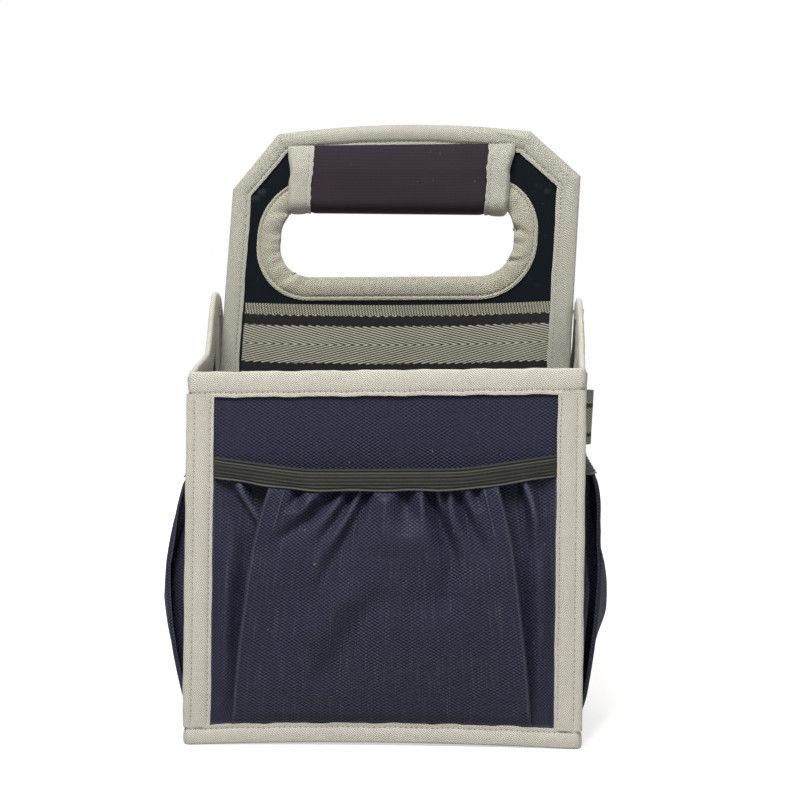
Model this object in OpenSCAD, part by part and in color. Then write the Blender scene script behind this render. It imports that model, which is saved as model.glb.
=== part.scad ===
// Open-topped garden tool bag: four sewn walls on a stiffened base, a stiff centre divider that
// rises into a padded carrying handle, a tool loop, and four gathered pockets with elastic mouths.
// Millimetres. +Z up, front towards -Y, origin at the middle of the base on the ground.

/* [Bag body] */
// Width over the corner bindings
bag_w = 220; // [200:1:240]
// Depth over the front and back bindings
bag_d = 170; // [150:1:190]
// Height of the front and back rim
rim_h = 206; // [195:1:220]
// Height of the side walls where they meet the divider
peak_h = 257; // [250:1:264]
// Thickness of the coated cloth of the walls
wall_t = 1.5; // [1:0.1:2]

/* [Binding tape] */
// Width of tape that shows on each face of an edge
tape_w = 14; // [12:0.5:15]
// Thickness of one leaf of tape
tape_t = 1; // [0.8:0.1:1.2]
// Height of the base binding up the walls
base_tape_h = 11.5; // [9:0.5:14]

/* [Divider and handle] */
// Height of the handle's top edge
handle_h = 356; // [340:1:370]
// Half width of the handle's straight top
handle_top_x = 74; // [68:1:80]
// Height at which the slanted corners start
shoulder_h = 322; // [316:1:328]
// Rise of the top edge from its ends to its middle
top_arch = 4; // [0:0.5:5]
// Thickness of the plastic board in the divider
board_t = 2.4; // [2:0.2:3]
// Width of the hand hole
hole_w = 142; // [130:1:146]
// Height of the hand hole
hole_h = 44; // [40:1:46]
// Height of the middle of the hand hole
hole_z = 289; // [286:1:292]
// Corner radius of the hand hole
hole_r = 20; // [15:1:20]

/* [Grip] */
// Length of the dark cover between its two end tapes
grip_len = 107; // [98:1:112]
// Width of each end tape
grip_tape_w = 14; // [12:0.5:15]
// Radius of the rounded lower edge of the grip, cover included
grip_r = 7.5; // [7:0.1:8.5]
// Height of the grip's lowest point
grip_low = 303.5; // [302:0.5:306]

/* [Webbing] */
// Height of the wide webbing across the divider
web_w = 50; // [40:1:52]
// Height of the top edge of that webbing
web_top = 251; // [246:1:252]
// Thickness of the wide webbing
web_t = 1.6; // [1.2:0.1:2]
// Width of the tool loop's webbing
loop_w = 32; // [25:1:34]
// Height of the middle of the tool loop
loop_z = 179; // [177:1:181]
// Distance between the tool loop's two bar tacks
loop_len = 72; // [60:1:80]
// Distance that the loop stands off the wall
loop_out = 10; // [8:0.5:12]

/* [Pockets] */
// Height of the elastic mouth at the pocket's ends
pocket_h = 148; // [140:1:150]
// Sag of the mouth in its middle
pocket_sag = 7; // [0:0.5:9]
// Width of the elastic band
elastic_w = 10.5; // [8:0.5:12]
// Bulge of the front and back pockets
bulge_front = 14.5; // [10:0.5:16]
// Bulge of the side pockets
bulge_side = 20; // [12:0.5:22]
// Half width of the pocket face's flat front at the mouth, as a share of the pocket
fold_share_top = 0.62; // [0.5:0.01:0.7]
// The same share at the foot
fold_share_foot = 0.88; // [0.75:0.01:0.92]

/* [Hidden] */

$fn = 64;
navy = [0.13, 0.14, 0.26];
tape_grey = [0.78, 0.76, 0.70];
board_black = [0.06, 0.07, 0.10];
plum = [0.20, 0.16, 0.20];
elastic_olive = [0.24, 0.24, 0.21];
web_grey = [0.62, 0.62, 0.55];
thread_grey = [0.70, 0.69, 0.62];

// The walls' outer faces, and what they leave inside.
wall_x = bag_w / 2 - 2;
wall_y = bag_d / 2 - tape_t;
inner_x = wall_x - wall_t;
inner_y = wall_y - wall_t;
base_z = tape_t;               // underside of the base cloth
base_board_t = 2;              // plastic sheet sewn into the base
lining_t = 0.8;                // thin cloth over that sheet
board_z = base_z + wall_t;
lining_z = board_z + base_board_t;
floor_z = lining_z + lining_t; // floor of the two compartments
leaf_t = 0.8;                  // leaf of the rim binding, pressed thinner than the others
rim_tape_w = 12.4;             // rim binding that shows below the edge
lip = 1;                       // raised seam that stands out at each corner

// Divider outline, inset by d from its outer edge.
divider_x = inner_x - 1;
chamfer_a = atan((divider_x - handle_top_x) / (handle_h - shoulder_h));
arch_steps = 8;
function divider_outline(d) = let (
    x = divider_x - d,
    z_shoulder = shoulder_h - d * tan(chamfer_a / 2),
    x_top = handle_top_x - d * tan((90 - chamfer_a) / 2))
    concat([[-x, floor_z], [x, floor_z], [x, z_shoulder]],
           [for (i = [0 : arch_steps]) let (k = 1 - 2 * i / arch_steps)
               [x_top * k, handle_h - d - top_arch * k * k]],
           [[-x, z_shoulder]]);

// Top edge of a side wall at a distance y from the divider: a slow rise, then a sweep to the peak.
function smooth(t) = let (c = max(0, min(1, t))) c * c * (3 - 2 * c);
sweep_share = 0.62;
sweep_from = 0.07;
sweep_to = 0.4;
function side_edge(y) = let (s = 1 - abs(y) / wall_y)
    rim_h - lip + (peak_h - rim_h) * ((1 - sweep_share) * s
    + sweep_share * smooth((s - 1 + sweep_to) / (sweep_to - sweep_from)));
edge_steps = 36;
function edge_ys(half, n = edge_steps) = [for (i = [0 : n]) half * (2 * i / n - 1)];
function reversed(list) = [for (i = [len(list) - 1 : -1 : 0]) list[i]];

// A flat plate in the YZ plane, from x0 to x1.
module side_plate(x0, x1, points) {
    translate([x0, 0, 0])
        rotate([90, 0, 90])
            linear_extrude(x1 - x0) polygon(points);
}

// A flat plate in the XZ plane, from y0 to y1.
module front_plate(y0, y1, points) {
    translate([0, y1, 0])
        rotate([90, 0, 0])
            linear_extrude(y1 - y0) polygon(points);
}

module block(low, high) {
    translate(low) cube(high - low);
}

module both_x() {
    children();
    mirror([1, 0, 0]) children();
}

// ---------------------------------------------------------------- walls and base

module base_panel() {
    color(navy)
        block([-inner_x, -inner_y, base_z], [inner_x, inner_y, board_z]);
}

module base_board() {
    clear = 1;
    color(board_black)
        block([-inner_x + clear, -inner_y + clear, board_z],
              [inner_x - clear, inner_y - clear, lining_z]);
}

module base_lining() {
    color(navy)
        block([-inner_x, -inner_y, lining_z], [inner_x, inner_y, floor_z]);
}

module end_panel() {
    color(navy)
        block([-wall_x, -wall_y, base_z], [wall_x, -inner_y, rim_h - leaf_t]);
}

module front_panel() end_panel();

module back_panel() mirror([0, 1, 0]) end_panel();

module right_panel() {
    ys = edge_ys(inner_y);
    color(navy)
        side_plate(inner_x, wall_x, concat(
            [[-inner_y, base_z]],
            [for (y = ys) [y, side_edge(y)]],
            [[inner_y, base_z]]));
}

module left_panel() mirror([1, 0, 0]) right_panel();

// ---------------------------------------------------------------- bindings

// One tape round the foot of the bag: a leaf up the walls and a leaf under the base.
module base_binding() {
    color(tape_grey)
        difference() {
            block([-wall_x - tape_t, -wall_y - tape_t, 0],
                  [wall_x + tape_t, wall_y + tape_t, base_tape_h]);
            block([-wall_x, -wall_y, base_z], [wall_x, wall_y, base_tape_h + 1]);
            block([-wall_x + tape_w, -wall_y + tape_w, -1],
                  [wall_x - tape_w, wall_y - tape_w, base_z + 1]);
        }
}

// A tape folded over the vertical seam, with the seam's lip standing out.
module corner_binding() {
    top = rim_h - rim_tape_w - 0.2;
    color(tape_grey)
        translate([0, 0, base_tape_h])
            linear_extrude(top - base_tape_h)
                polygon([[wall_x, -wall_y], [wall_x - tape_w + 0.5, -wall_y],
                         [wall_x - tape_w + 0.5, -wall_y - tape_t],
                         [wall_x + 2 * lip, -wall_y - tape_t],
                         [wall_x + 2 * lip, -wall_y + 3], [wall_x + tape_t, -wall_y + 3],
                         [wall_x + tape_t, -wall_y + tape_w], [wall_x, -wall_y + tape_w]]);
}

module corner_binding_front_right() corner_binding();

module corner_binding_front_left() mirror([1, 0, 0]) corner_binding();

module corner_binding_back_right() mirror([0, 1, 0]) corner_binding();

module corner_binding_back_left() mirror([1, 0, 0]) mirror([0, 1, 0]) corner_binding();

// Tape over the front edge, in section: two leaves and a rounded fold.
module rim_fold(half_len) {
    out_r = wall_t / 2 + leaf_t;
    fold_z = rim_h - out_r;
    mid_y = -wall_y + wall_t / 2;
    translate([-half_len, 0, 0])
        rotate([90, 0, 90])
            linear_extrude(2 * half_len)
                difference() {
                    union() {
                        translate([mid_y - out_r, rim_h - rim_tape_w])
                            square([2 * out_r, fold_z - rim_h + rim_tape_w]);
                        translate([mid_y, fold_z]) circle(out_r);
                    }
                    translate([mid_y - wall_t / 2, rim_h - rim_tape_w - 1])
                        square([wall_t, rim_tape_w + 1 - leaf_t]);
                }
}

// Tape over one side wall's swept edge, from the corner to the divider.
module side_rim(gap) {
    ys = [for (i = [0 : edge_steps / 2])
        -inner_y + leaf_t + (inner_y - leaf_t - gap) * i / (edge_steps / 2)];
    top = [for (y = ys) [y, side_edge(y) + leaf_t]];
    edge = [for (y = ys) [y, side_edge(y)]];
    foot = [for (y = ys) [y, side_edge(y) + leaf_t - rim_tape_w]];
    side_plate(wall_x, wall_x + leaf_t, concat(top, reversed(foot)));
    side_plate(inner_x - leaf_t, inner_x, concat(top, reversed(foot)));
    side_plate(inner_x, wall_x, concat(top, reversed(edge)));
}

// One length of tape: up one side wall's edge, along the rim and up the other side.
module rim_binding_front() {
    color(tape_grey)
        union() {
            difference() {
                rim_fold(wall_x + lip);
                both_x()
                    block([inner_x, -inner_y, 0], [wall_x, -inner_y + rim_tape_w, rim_h - lip]);
            }
            both_x() side_rim(0.2);
        }
}

module rim_binding_back() mirror([0, 1, 0]) rim_binding_front();

// ---------------------------------------------------------------- divider

module rounded_slot(w, h, r) {
    square([w - 2 * r, h], center = true);
    square([w, h - 2 * r], center = true);
    for (sx = [-1, 1], sz = [-1, 1])
        translate([sx * (w / 2 - r), sz * (h / 2 - r)]) circle(r);
}

module hand_hole(grow, y0, y1) {
    translate([0, y1, hole_z])
        rotate([90, 0, 0])
            linear_extrude(y1 - y0)
                rounded_slot(hole_w + 2 * grow, hole_h + 2 * grow, hole_r + grow);
}

half_board = board_t / 2;
divider_face = half_board + tape_t;

module divider_board() {
    color(board_black)
        difference() {
            front_plate(-half_board, half_board, divider_outline(tape_t));
            hand_hole(tape_t, -board_t, board_t);
        }
}

module divider_edge_binding() {
    color(tape_grey)
        difference() {
            front_plate(-divider_face, divider_face, divider_outline(0));
            front_plate(-half_board, half_board, divider_outline(tape_t));
            front_plate(-divider_face - 1, -half_board, divider_outline(tape_w));
            front_plate(half_board, divider_face + 1, divider_outline(tape_w));
        }
}

module hand_hole_binding() {
    color(tape_grey)
        difference() {
            hand_hole(tape_w, -divider_face, divider_face);
            hand_hole(0, -divider_face - 1, divider_face + 1);
            difference() {
                hand_hole(tape_w + 1, -half_board, half_board);
                hand_hole(tape_t, -half_board - 1, half_board + 1);
            }
        }
}

module divider_webbing_front() {
    x = divider_x - tape_w - 0.2;
    color(web_grey)
        block([-x, -half_board - web_t, web_top - web_w], [x, -half_board, web_top]);
}

module divider_webbing_back() mirror([0, 1, 0]) divider_webbing_front();

// Tape sewn up the middle of a side wall, which the divider's edge is sewn to.
module divider_wall_tape_right() {
    color(tape_grey)
        block([divider_x, -divider_face - 8.5, floor_z],
              [inner_x, divider_face + 8.5, peak_h - rim_tape_w - 4.5]);
}

module divider_wall_tape_left() mirror([1, 0, 0]) divider_wall_tape_right();

// ---------------------------------------------------------------- grip

pad_r = grip_r - 0.9;
grip_mid_z = grip_low + grip_r;
top_tape_low = handle_h - tape_w - top_arch;
grip_top = top_tape_low - 0.2;
bar_gap = divider_face + 0.1;

// Section through the wrapped bar, seen along X: a round-bottomed strip of half thickness r.
module grip_section(r, low_gap) {
    translate([0, grip_mid_z]) circle(r);
    translate([-r, grip_mid_z]) square([2 * r, grip_top - grip_mid_z - low_gap]);
}

// The divider's bar and its binding, which the grip is wrapped round.
module bar() {
    difference() {
        block([-bag_w / 2, -bar_gap, grip_low - 1], [bag_w / 2, bar_gap, handle_h]);
        hand_hole(-0.1, -bar_gap - 1, bar_gap + 1);
    }
}

module along_x(half_len) {
    translate([-half_len, 0, 0]) rotate([90, 0, 90]) linear_extrude(2 * half_len) children();
}

pad_half = grip_len / 2 + grip_tape_w - 1.5;

module grip_pad() {
    color("dimgray")
        difference() {
            along_x(pad_half) grip_section(pad_r, 1.2);
            bar();
        }
}

module grip_skin() {
    difference() {
        grip_section(grip_r, 0);
        grip_section(pad_r, 0);
    }
}

module grip_cover() {
    color(plum)
        difference() {
            along_x(grip_len / 2) grip_skin();
            bar();
        }
}

module grip_end_tape_right() {
    color(tape_grey)
        difference() {
            translate([grip_len / 2 + grip_tape_w / 2, 0, 0])
                along_x(grip_tape_w / 2) grip_skin();
            bar();
        }
}

module grip_end_tape_left() mirror([1, 0, 0]) grip_end_tape_right();

// ---------------------------------------------------------------- tool loop

loop_t = 1.4;
tail = 9;
function loop_rise(y) = loop_out * (1 - pow(abs(y) / (loop_len / 2), 2.5));

module tool_loop() {
    ys = edge_ys(loop_len / 2, 20);
    end = loop_len / 2 + tail;
    color(web_grey)
        translate([0, 0, loop_z - loop_w / 2])
            linear_extrude(loop_w)
                polygon(concat(
                    [[wall_x, -end], [wall_x + loop_t, -end]],
                    [for (y = ys) [wall_x + loop_t + loop_rise(y), y]],
                    [[wall_x + loop_t, end], [wall_x, end]],
                    reversed([for (y = ys) [wall_x + loop_rise(y), y]])));
}

module tool_loop_bar_tacks() {
    tack_t = 0.6;
    color(thread_grey)
        for (s = [-1, 1])
            translate([wall_x + loop_t + tack_t / 2, s * (loop_len / 2 + tail / 2), loop_z])
                cube([tack_t, 2.4, loop_w - 4], center = true);
}

// ---------------------------------------------------------------- pockets

cloth_t = 1.2;
pocket_low = base_tape_h + 0.8;
seam_gap = 0.5;
mouth_share = 142;             // degrees of the bulge's sine that are used up at the mouth
front_half = wall_x - tape_w;
side_half = wall_y - tape_w;
slit = 0.3;                    // gap between the moving face and the bellows
hem_gap = 0.1;                 // gap between the face's top edge and the elastic

// Bulge of a pocket of half width h at x, with t from 0 at the foot to 1 at the mouth.
function across(x, h) = 1 - pow(abs(x) / h, 2.8);
function gap_at(x, t, h, bulge) = seam_gap + bulge * across(x, h) * sin(mouth_share * pow(t, 0.9));
function mouth_z(x, h) = pocket_h - pocket_sag * across(x, h);

// A closed shell between two grids of nu by nv cells, given as lists of points row by row.
module grid_shell(outer, inner, nu, nv) {
    n = len(outer);
    row = nu + 1;
    top = nv * row;
    cells = [for (j = [0 : nv - 1], i = [0 : nu - 1]) j * row + i];
    polyhedron(points = concat(outer, inner), faces = concat(
        [for (a = cells) [a, a + row, a + row + 1]],
        [for (a = cells) [a, a + row + 1, a + 1]],
        [for (a = cells) [n + a, n + a + row + 1, n + a + row]],
        [for (a = cells) [n + a, n + a + 1, n + a + row + 1]],
        [for (i = [0 : nu - 1]) [i, i + 1, n + i + 1]],
        [for (i = [0 : nu - 1]) [i, n + i + 1, n + i]],
        [for (i = [0 : nu - 1]) [top + i, n + top + i + 1, top + i + 1]],
        [for (i = [0 : nu - 1]) [top + i, n + top + i, n + top + i + 1]],
        [for (j = [0 : nv - 1]) let (a = j * row) [a, n + a, n + a + row]],
        [for (j = [0 : nv - 1]) let (a = j * row) [a, n + a + row, a + row]],
        [for (j = [0 : nv - 1]) let (a = j * row + nu) [a, n + a + row, n + a]],
        [for (j = [0 : nv - 1]) let (a = j * row + nu) [a, a + row, n + a + row]]));
}

// Half width of the pocket's flat front at a height t from 0 to 1.
function fold_x(h, t) = h * (fold_share_foot + (fold_share_top - fold_share_foot) * t);

// Pocket cloth on a wall whose outer face is the plane y = 0. It runs from x0 to x1 at the foot
// and from x2 to x3 at the mouth, and stops low_by under the elastic.
module pocket_cloth(x0, x1, x2, x3, h, bulge, low_by, nu) {
    nv = 10;
    function place(i, j, extra) = let (
        t = j / nv,
        from = x0 + (x2 - x0) * t,
        to = x1 + (x3 - x1) * t,
        x = from + (to - from) * i / nu,
        z = pocket_low + (mouth_z(x, h) - low_by - pocket_low) * t)
        [x, -gap_at(x, t, h, bulge) - extra, z];
    color(navy)
        grid_shell([for (j = [0 : nv], i = [0 : nu]) place(i, j, cloth_t)],
                   [for (j = [0 : nv], i = [0 : nu]) place(i, j, 0)], nu, nv);
}

module pocket_face(h, bulge) {
    foot = fold_x(h, 0);
    top = fold_x(h, 1);
    pocket_cloth(-foot, foot, -top, top, h, bulge, hem_gap, 14);
}

module pocket_bellows(h, bulge) {
    foot = fold_x(h, 0) + slit;
    top = fold_x(h, 1) + slit;
    edge = h - 0.2;
    pocket_cloth(foot, edge, top, edge, h, bulge, slit, 5);
    pocket_cloth(-edge, -foot, -edge, -top, h, bulge, slit, 5);
}

module pocket_elastic(h, bulge) {
    nu = 20;
    half = h - 0.4;
    function place(i, z_up, extra) = let (x = half * (2 * i / nu - 1))
        [x, -gap_at(x, 1, h, bulge) - extra, mouth_z(x, h) + z_up];
    color(elastic_olive)
        grid_shell([for (z_up = [0, elastic_w], i = [0 : nu]) place(i, z_up, cloth_t + 0.6)],
                   [for (z_up = [0, elastic_w], i = [0 : nu]) place(i, z_up, -0.2)], nu, 1);
}

module on_front() translate([0, -wall_y, 0]) children();

module on_back() rotate([0, 0, 180]) on_front() children();

module on_right() translate([wall_x, 0, 0]) rotate([0, 0, 90]) children();

module on_left() rotate([0, 0, 180]) on_right() children();

module front_pocket_face() on_front() pocket_face(front_half, bulge_front);
module front_pocket_bellows() on_front() pocket_bellows(front_half, bulge_front);
module front_pocket_elastic() on_front() pocket_elastic(front_half, bulge_front);
module back_pocket_face() on_back() pocket_face(front_half, bulge_front);
module back_pocket_bellows() on_back() pocket_bellows(front_half, bulge_front);
module back_pocket_elastic() on_back() pocket_elastic(front_half, bulge_front);
module left_pocket_face() on_left() pocket_face(side_half, bulge_side);
module left_pocket_bellows() on_left() pocket_bellows(side_half, bulge_side);
module left_pocket_elastic() on_left() pocket_elastic(side_half, bulge_side);
module right_pocket_face() on_right() pocket_face(side_half, bulge_side);
module right_pocket_bellows() on_right() pocket_bellows(side_half, bulge_side);
module right_pocket_elastic() on_right() pocket_elastic(side_half, bulge_side);

base_panel();
base_board();
base_lining();
front_panel();
back_panel();
left_panel();
right_panel();
base_binding();
rim_binding_front();
rim_binding_back();
corner_binding_front_left();
corner_binding_front_right();
corner_binding_back_left();
corner_binding_back_right();
divider_board();
divider_edge_binding();
hand_hole_binding();
divider_webbing_front();
divider_webbing_back();
divider_wall_tape_left();
divider_wall_tape_right();
grip_pad();
grip_cover();
grip_end_tape_left();
grip_end_tape_right();
tool_loop();
tool_loop_bar_tacks();
front_pocket_face();
front_pocket_bellows();
front_pocket_elastic();
back_pocket_face();
back_pocket_bellows();
back_pocket_elastic();
left_pocket_face();
left_pocket_bellows();
left_pocket_elastic();
right_pocket_face();
right_pocket_bellows();
right_pocket_elastic();
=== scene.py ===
"""Garden tool bag: the looks of a sewn, open-topped tote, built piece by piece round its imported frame.
Lengths are in metres. The bag stands on z = 0, its front faces -Y and its tool loop is on the +X side."""

import math

import bpy
import numpy as np
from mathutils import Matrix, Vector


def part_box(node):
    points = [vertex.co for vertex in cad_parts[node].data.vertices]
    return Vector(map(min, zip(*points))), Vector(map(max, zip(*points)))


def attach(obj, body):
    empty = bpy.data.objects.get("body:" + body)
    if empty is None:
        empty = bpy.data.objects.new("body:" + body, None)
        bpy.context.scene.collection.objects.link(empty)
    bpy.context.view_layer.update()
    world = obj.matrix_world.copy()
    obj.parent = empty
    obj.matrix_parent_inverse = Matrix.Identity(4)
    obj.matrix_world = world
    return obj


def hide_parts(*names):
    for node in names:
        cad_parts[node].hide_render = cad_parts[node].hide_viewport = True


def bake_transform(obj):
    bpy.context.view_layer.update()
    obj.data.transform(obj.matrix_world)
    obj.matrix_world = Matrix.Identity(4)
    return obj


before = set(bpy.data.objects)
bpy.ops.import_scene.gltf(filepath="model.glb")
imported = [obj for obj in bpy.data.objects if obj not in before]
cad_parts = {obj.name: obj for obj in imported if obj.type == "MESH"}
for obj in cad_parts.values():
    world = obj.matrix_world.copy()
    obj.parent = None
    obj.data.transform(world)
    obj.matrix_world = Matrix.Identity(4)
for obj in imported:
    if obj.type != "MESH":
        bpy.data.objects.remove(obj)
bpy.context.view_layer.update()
mm = 0.001

# ------------------------------------------------------------------ camera
# A 62 mm lens a little to the right of the bag and just below its rim.

CAMERA_PLACE = (0.0468, -0.8408, 0.190)
CAMERA_TURN = math.radians(2.74)
CAMERA_LENS = 62.3

camera = bpy.data.objects.new("camera", bpy.data.cameras.new("camera"))
bpy.context.collection.objects.link(camera)
camera.location = CAMERA_PLACE
camera.rotation_euler = (math.radians(90), 0, CAMERA_TURN)
camera.data.lens = CAMERA_LENS
camera.data.sensor_width = 36
camera.data.clip_start = 0.01
bpy.context.scene.camera = camera
bpy.context.scene.view_settings.view_transform = "Standard"

# ------------------------------------------------------------------ walls and base
# Navy woven cloth with a coating, one layer thick, cut flat and sewn at its edges. The bindings hold it,
# so it only bellies a little between them. The base is the same cloth over and under a sewn-in stiffener.


class Wire:
    """A value that varies over a surface. Arithmetic on it adds Math nodes."""

    def __init__(self, finish, socket):
        self.finish = finish
        self.socket = socket

    def _math(self, operation, *values):
        return self.finish.node("ShaderNodeMath", {"operation": operation}, dict(enumerate(values)))

    def __add__(self, other):
        return self._math("ADD", self, other)

    __radd__ = __add__

    def __sub__(self, other):
        return self._math("SUBTRACT", self, other)

    def __rsub__(self, other):
        return self._math("SUBTRACT", other, self)

    def __mul__(self, other):
        return self._math("MULTIPLY", self, other)

    __rmul__ = __mul__

    def __truediv__(self, other):
        return self._math("DIVIDE", self, other)

    def __rtruediv__(self, other):
        return self._math("DIVIDE", other, self)

    def sine(self):
        return self._math("SINE", self)

    def wave(self, length):
        """A sine wave of the given length, from -1 to 1."""
        return (self * (2 * math.pi / length)).sine()

    def size(self):
        return self._math("ABSOLUTE", self)

    def fraction(self):
        return self._math("FRACT", self)

    def over(self, edge):
        return self._math("GREATER_THAN", self, edge)

    def step(self, low, high):
        """0 below low, 1 above high, and smooth between."""
        sockets = {"Value": self, "From Min": low, "From Max": high}
        return self.finish.node("ShaderNodeMapRange", {"interpolation_type": "SMOOTHSTEP"}, sockets)


class Finish:
    """The shader nodes of one material, or of the world: its main shader, and short ways to add nodes."""

    def __init__(self, name, owner=None, shader="Principled BSDF", **sockets):
        self.material = owner or bpy.data.materials.new(name)
        self.material.use_nodes = True
        self.tree = self.material.node_tree
        self.shader = self.tree.nodes[shader]
        self.set(**sockets)

    def put(self, socket, value):
        if isinstance(value, Wire):
            self.tree.links.new(value.socket, socket)
        elif isinstance(value, tuple):
            socket.default_value = (*value, 1)
        else:
            socket.default_value = value

    def set(self, **sockets):
        for name, value in sockets.items():
            self.put(self.shader.inputs[name.replace("_", " ")], value)

    def node(self, kind, settings=None, sockets=None, out=0):
        made = self.tree.nodes.new(kind)
        for name, value in (settings or {}).items():
            setattr(made, name, value)
        for name, value in (sockets or {}).items():
            self.put(made.inputs[name], value)
        return Wire(self, made.outputs[out])

    def weave_axes(self):
        """Distances along and across the cloth, in millimetres."""
        cut = self.node("ShaderNodeUVMap", {"uv_map": "cut"})
        split = self.node("ShaderNodeSeparateXYZ", None, {0: cut}).socket.node
        return Wire(self, split.outputs[0]) * 1000, Wire(self, split.outputs[1]) * 1000

    def noise(self, vector, scale, detail=2.0, roughness=0.5):
        sockets = {"Vector": vector, "Scale": scale, "Detail": detail, "Roughness": roughness}
        return self.node("ShaderNodeTexNoise", None, sockets)

    def place(self):
        """Where the point is on the piece, in metres."""
        return self.node("ShaderNodeTexCoord", out=3)

    def spot(self, x, y):
        return self.node("ShaderNodeCombineXYZ", None, {0: x, 1: y})

    def mix(self, share, low, high):
        """A colour between low and high."""
        return self.node("ShaderNodeMix", {"data_type": "RGBA"}, {0: share, 6: low, 7: high}, 2)

    def relief(self, height, depth, strength):
        """Bump from a height of 0 to 1 that stands for depth in metres."""
        sockets = {"Height": height, "Distance": depth, "Strength": strength}
        self.set(Normal=self.node("ShaderNodeBump", None, sockets))


def coated_cloth(name, slub_and_light):
    """Navy coated cloth: a staggered weave whose raised points catch the light between dark gaps, with a
    painted highlight on outward bends and painted shade in creases. The slub share also sets how light a
    copy is, and the walls' darker copy is painted shade.
    """
    finish = Finish(name, Roughness=0.5, Specular_IOR_Level=0.28)
    along, across = finish.weave_axes()
    pitch = 1.52
    rise = 0.94
    wander = finish.noise(finish.spot(along * 0.02, across * 0.02), 1.0, 3.0)
    row = (across * (math.pi / rise) + wander * 1.2).sine()
    column = (along * (math.pi / pitch) + wander).sine()
    knots = (row * column * 0.5 + 0.5).step(0.2, 0.78)
    streak = finish.noise(finish.spot(along * 0.8, across * 0.035), 1.0, 3.0, 0.6)
    # More light slubs make a lighter copy of the cloth, so this share stands in for light and shade as well
    # as for the slubs.
    slub = streak.step(0.50, 0.80) * slub_and_light
    cloud = finish.noise(finish.place(), 14.0, 3.0, 0.55)
    lint = finish.noise(finish.place(), 330.0, 2.0).step(0.74, 0.80)
    ground = finish.mix(cloud, (0.0014, 0.0014, 0.0048), (0.0034, 0.0034, 0.0095))
    raised = finish.mix(slub, (0.023, 0.024, 0.060), (0.088, 0.078, 0.112))
    # Pointiness paints light and shade: a painted highlight where the cloth bends outwards, painted shade in
    # its creases.
    bend = finish.node("ShaderNodeNewGeometry", out="Pointiness")
    ridge_highlight = bend.step(0.508, 0.55)
    crease_shade = 1 - bend.step(0.38, 0.49)
    yarn = finish.mix(knots, ground, raised)
    yarn = finish.mix(ridge_highlight * 0.4, yarn, (0.085, 0.083, 0.115))
    yarn = finish.mix(crease_shade * 0.6, yarn, (0.003, 0.003, 0.006))
    finish.set(Base_Color=finish.mix(lint * 0.6, yarn, (0.14, 0.14, 0.17)))
    finish.set(Roughness=0.66 - knots * 0.16 + cloud * 0.06)
    finish.relief(knots + lint * 0.5, 0.5 * mm, 0.9)
    return finish


# The walls' copy has few light slubs and comes out darker than the pockets': painted shade on the walls.
cloth = coated_cloth("coated_cloth", 0.25)

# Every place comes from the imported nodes. Cloth and tape are a little thinner than their solids.
wall_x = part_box("right_panel")[1][0]
wall_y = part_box("back_panel")[1][1]
wall_t = 1.3 * mm
rim_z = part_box("front_panel")[1][2] + 0.8 * mm
peak_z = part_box("right_panel")[1][2]
base_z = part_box("base_panel")[0][2]
floor_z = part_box("base_lining")[1][2]

BODY_LEAN = 0.0125
HANDLE_LEAN = 0.068
HANDLE_LEAN_FROM = 200 * mm
HANDLE_TAPER = 0.10
RIGHT_PEAK_DROP = 6.5 * mm
RIM_TILT = 0.0095
RIGHT_PUSH = 4.6 * mm
LEFT_PUSH = -1.2 * mm
FOOT_HOLLOW = 3.5 * mm
FOOT_ARCH = 1.6 * mm


def ease(t):
    t = np.clip(t, 0, 1)
    return t * t * (3 - 2 * t)


def settle(points, handle=False):
    """Moves points as the bag has settled: it leans a little to the right and its handle leans more, its
    rim is a little higher on the right, the side walls give way to the divider, and the foot of the front
    wall is drawn in and up."""
    x, y, z = points[..., 0], points[..., 1], points[..., 2]
    shift = BODY_LEAN * np.minimum(z, rim_z)
    lift = RIM_TILT * x * np.clip(z / rim_z, 0, 1)
    if handle:
        over = np.maximum(z - HANDLE_LEAN_FROM, 0)
        shift = shift + HANDLE_LEAN * over * over / (over + 12 * mm) - HANDLE_TAPER * x * over
        lift = 0.2 * lift
    else:
        high = ease((z - 165 * mm) / (60 * mm)) * ease(1.15 - np.abs(y) / wall_y)
        push = np.where(x > 0, RIGHT_PUSH, LEFT_PUSH)
        shift = shift + push * high * ease((np.abs(x) - 70 * mm) / (30 * mm))
        lift = lift - RIGHT_PEAK_DROP * ease((z - rim_z) / (50 * mm)) * (x > 0)
    near_front = ease((-y - 60 * mm) / (24 * mm))
    arch = (1 - np.clip(np.abs(x) / wall_x, 0, 1) ** 2) * near_front * ease(1 - z / (120 * mm))
    return np.stack([x + shift, y + FOOT_HOLLOW * arch, z + lift + FOOT_ARCH * arch], axis=-1)


def belly(across, up, depth):
    """Bulge of a panel between its bound edges, both measured from 0 to 1."""
    wave = np.sin(math.pi * np.clip(across, 0, 1)) * np.sin(math.pi * np.clip(up, 0, 1)) ** 0.8
    ripple = np.sin(9 * across + 4 * up + 1) * np.sin(5 * up + 2 * across) * 0.25
    return depth * (wave + ripple * wave)


def grid_of(rows, columns):
    """Two grids of numbers: rows, which change down the grid, and columns, which change across it."""
    return np.meshgrid(rows, columns, indexing="ij")


def end_wall(side):
    """The front wall, side = -1, or the back wall, side = 1."""
    across, up = grid_of(np.linspace(0, 1, 90), np.linspace(0, 1, 80))
    x = (1 - 2 * across if side > 0 else 2 * across - 1) * (wall_x - 0.4 * mm)
    z = base_z + 0.4 * mm + (rim_z - base_z - 2.2 * mm) * up
    y = side * (wall_y - 0.1 * mm - belly(across, up, 1.4 * mm))
    return settle(np.stack([x, y, z], axis=-1))


SWEEP_SHARE = 0.62
SWEEP_FROM = 0.07
SWEEP_TO = 0.4
EDGE_LIP = 1 * mm


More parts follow.
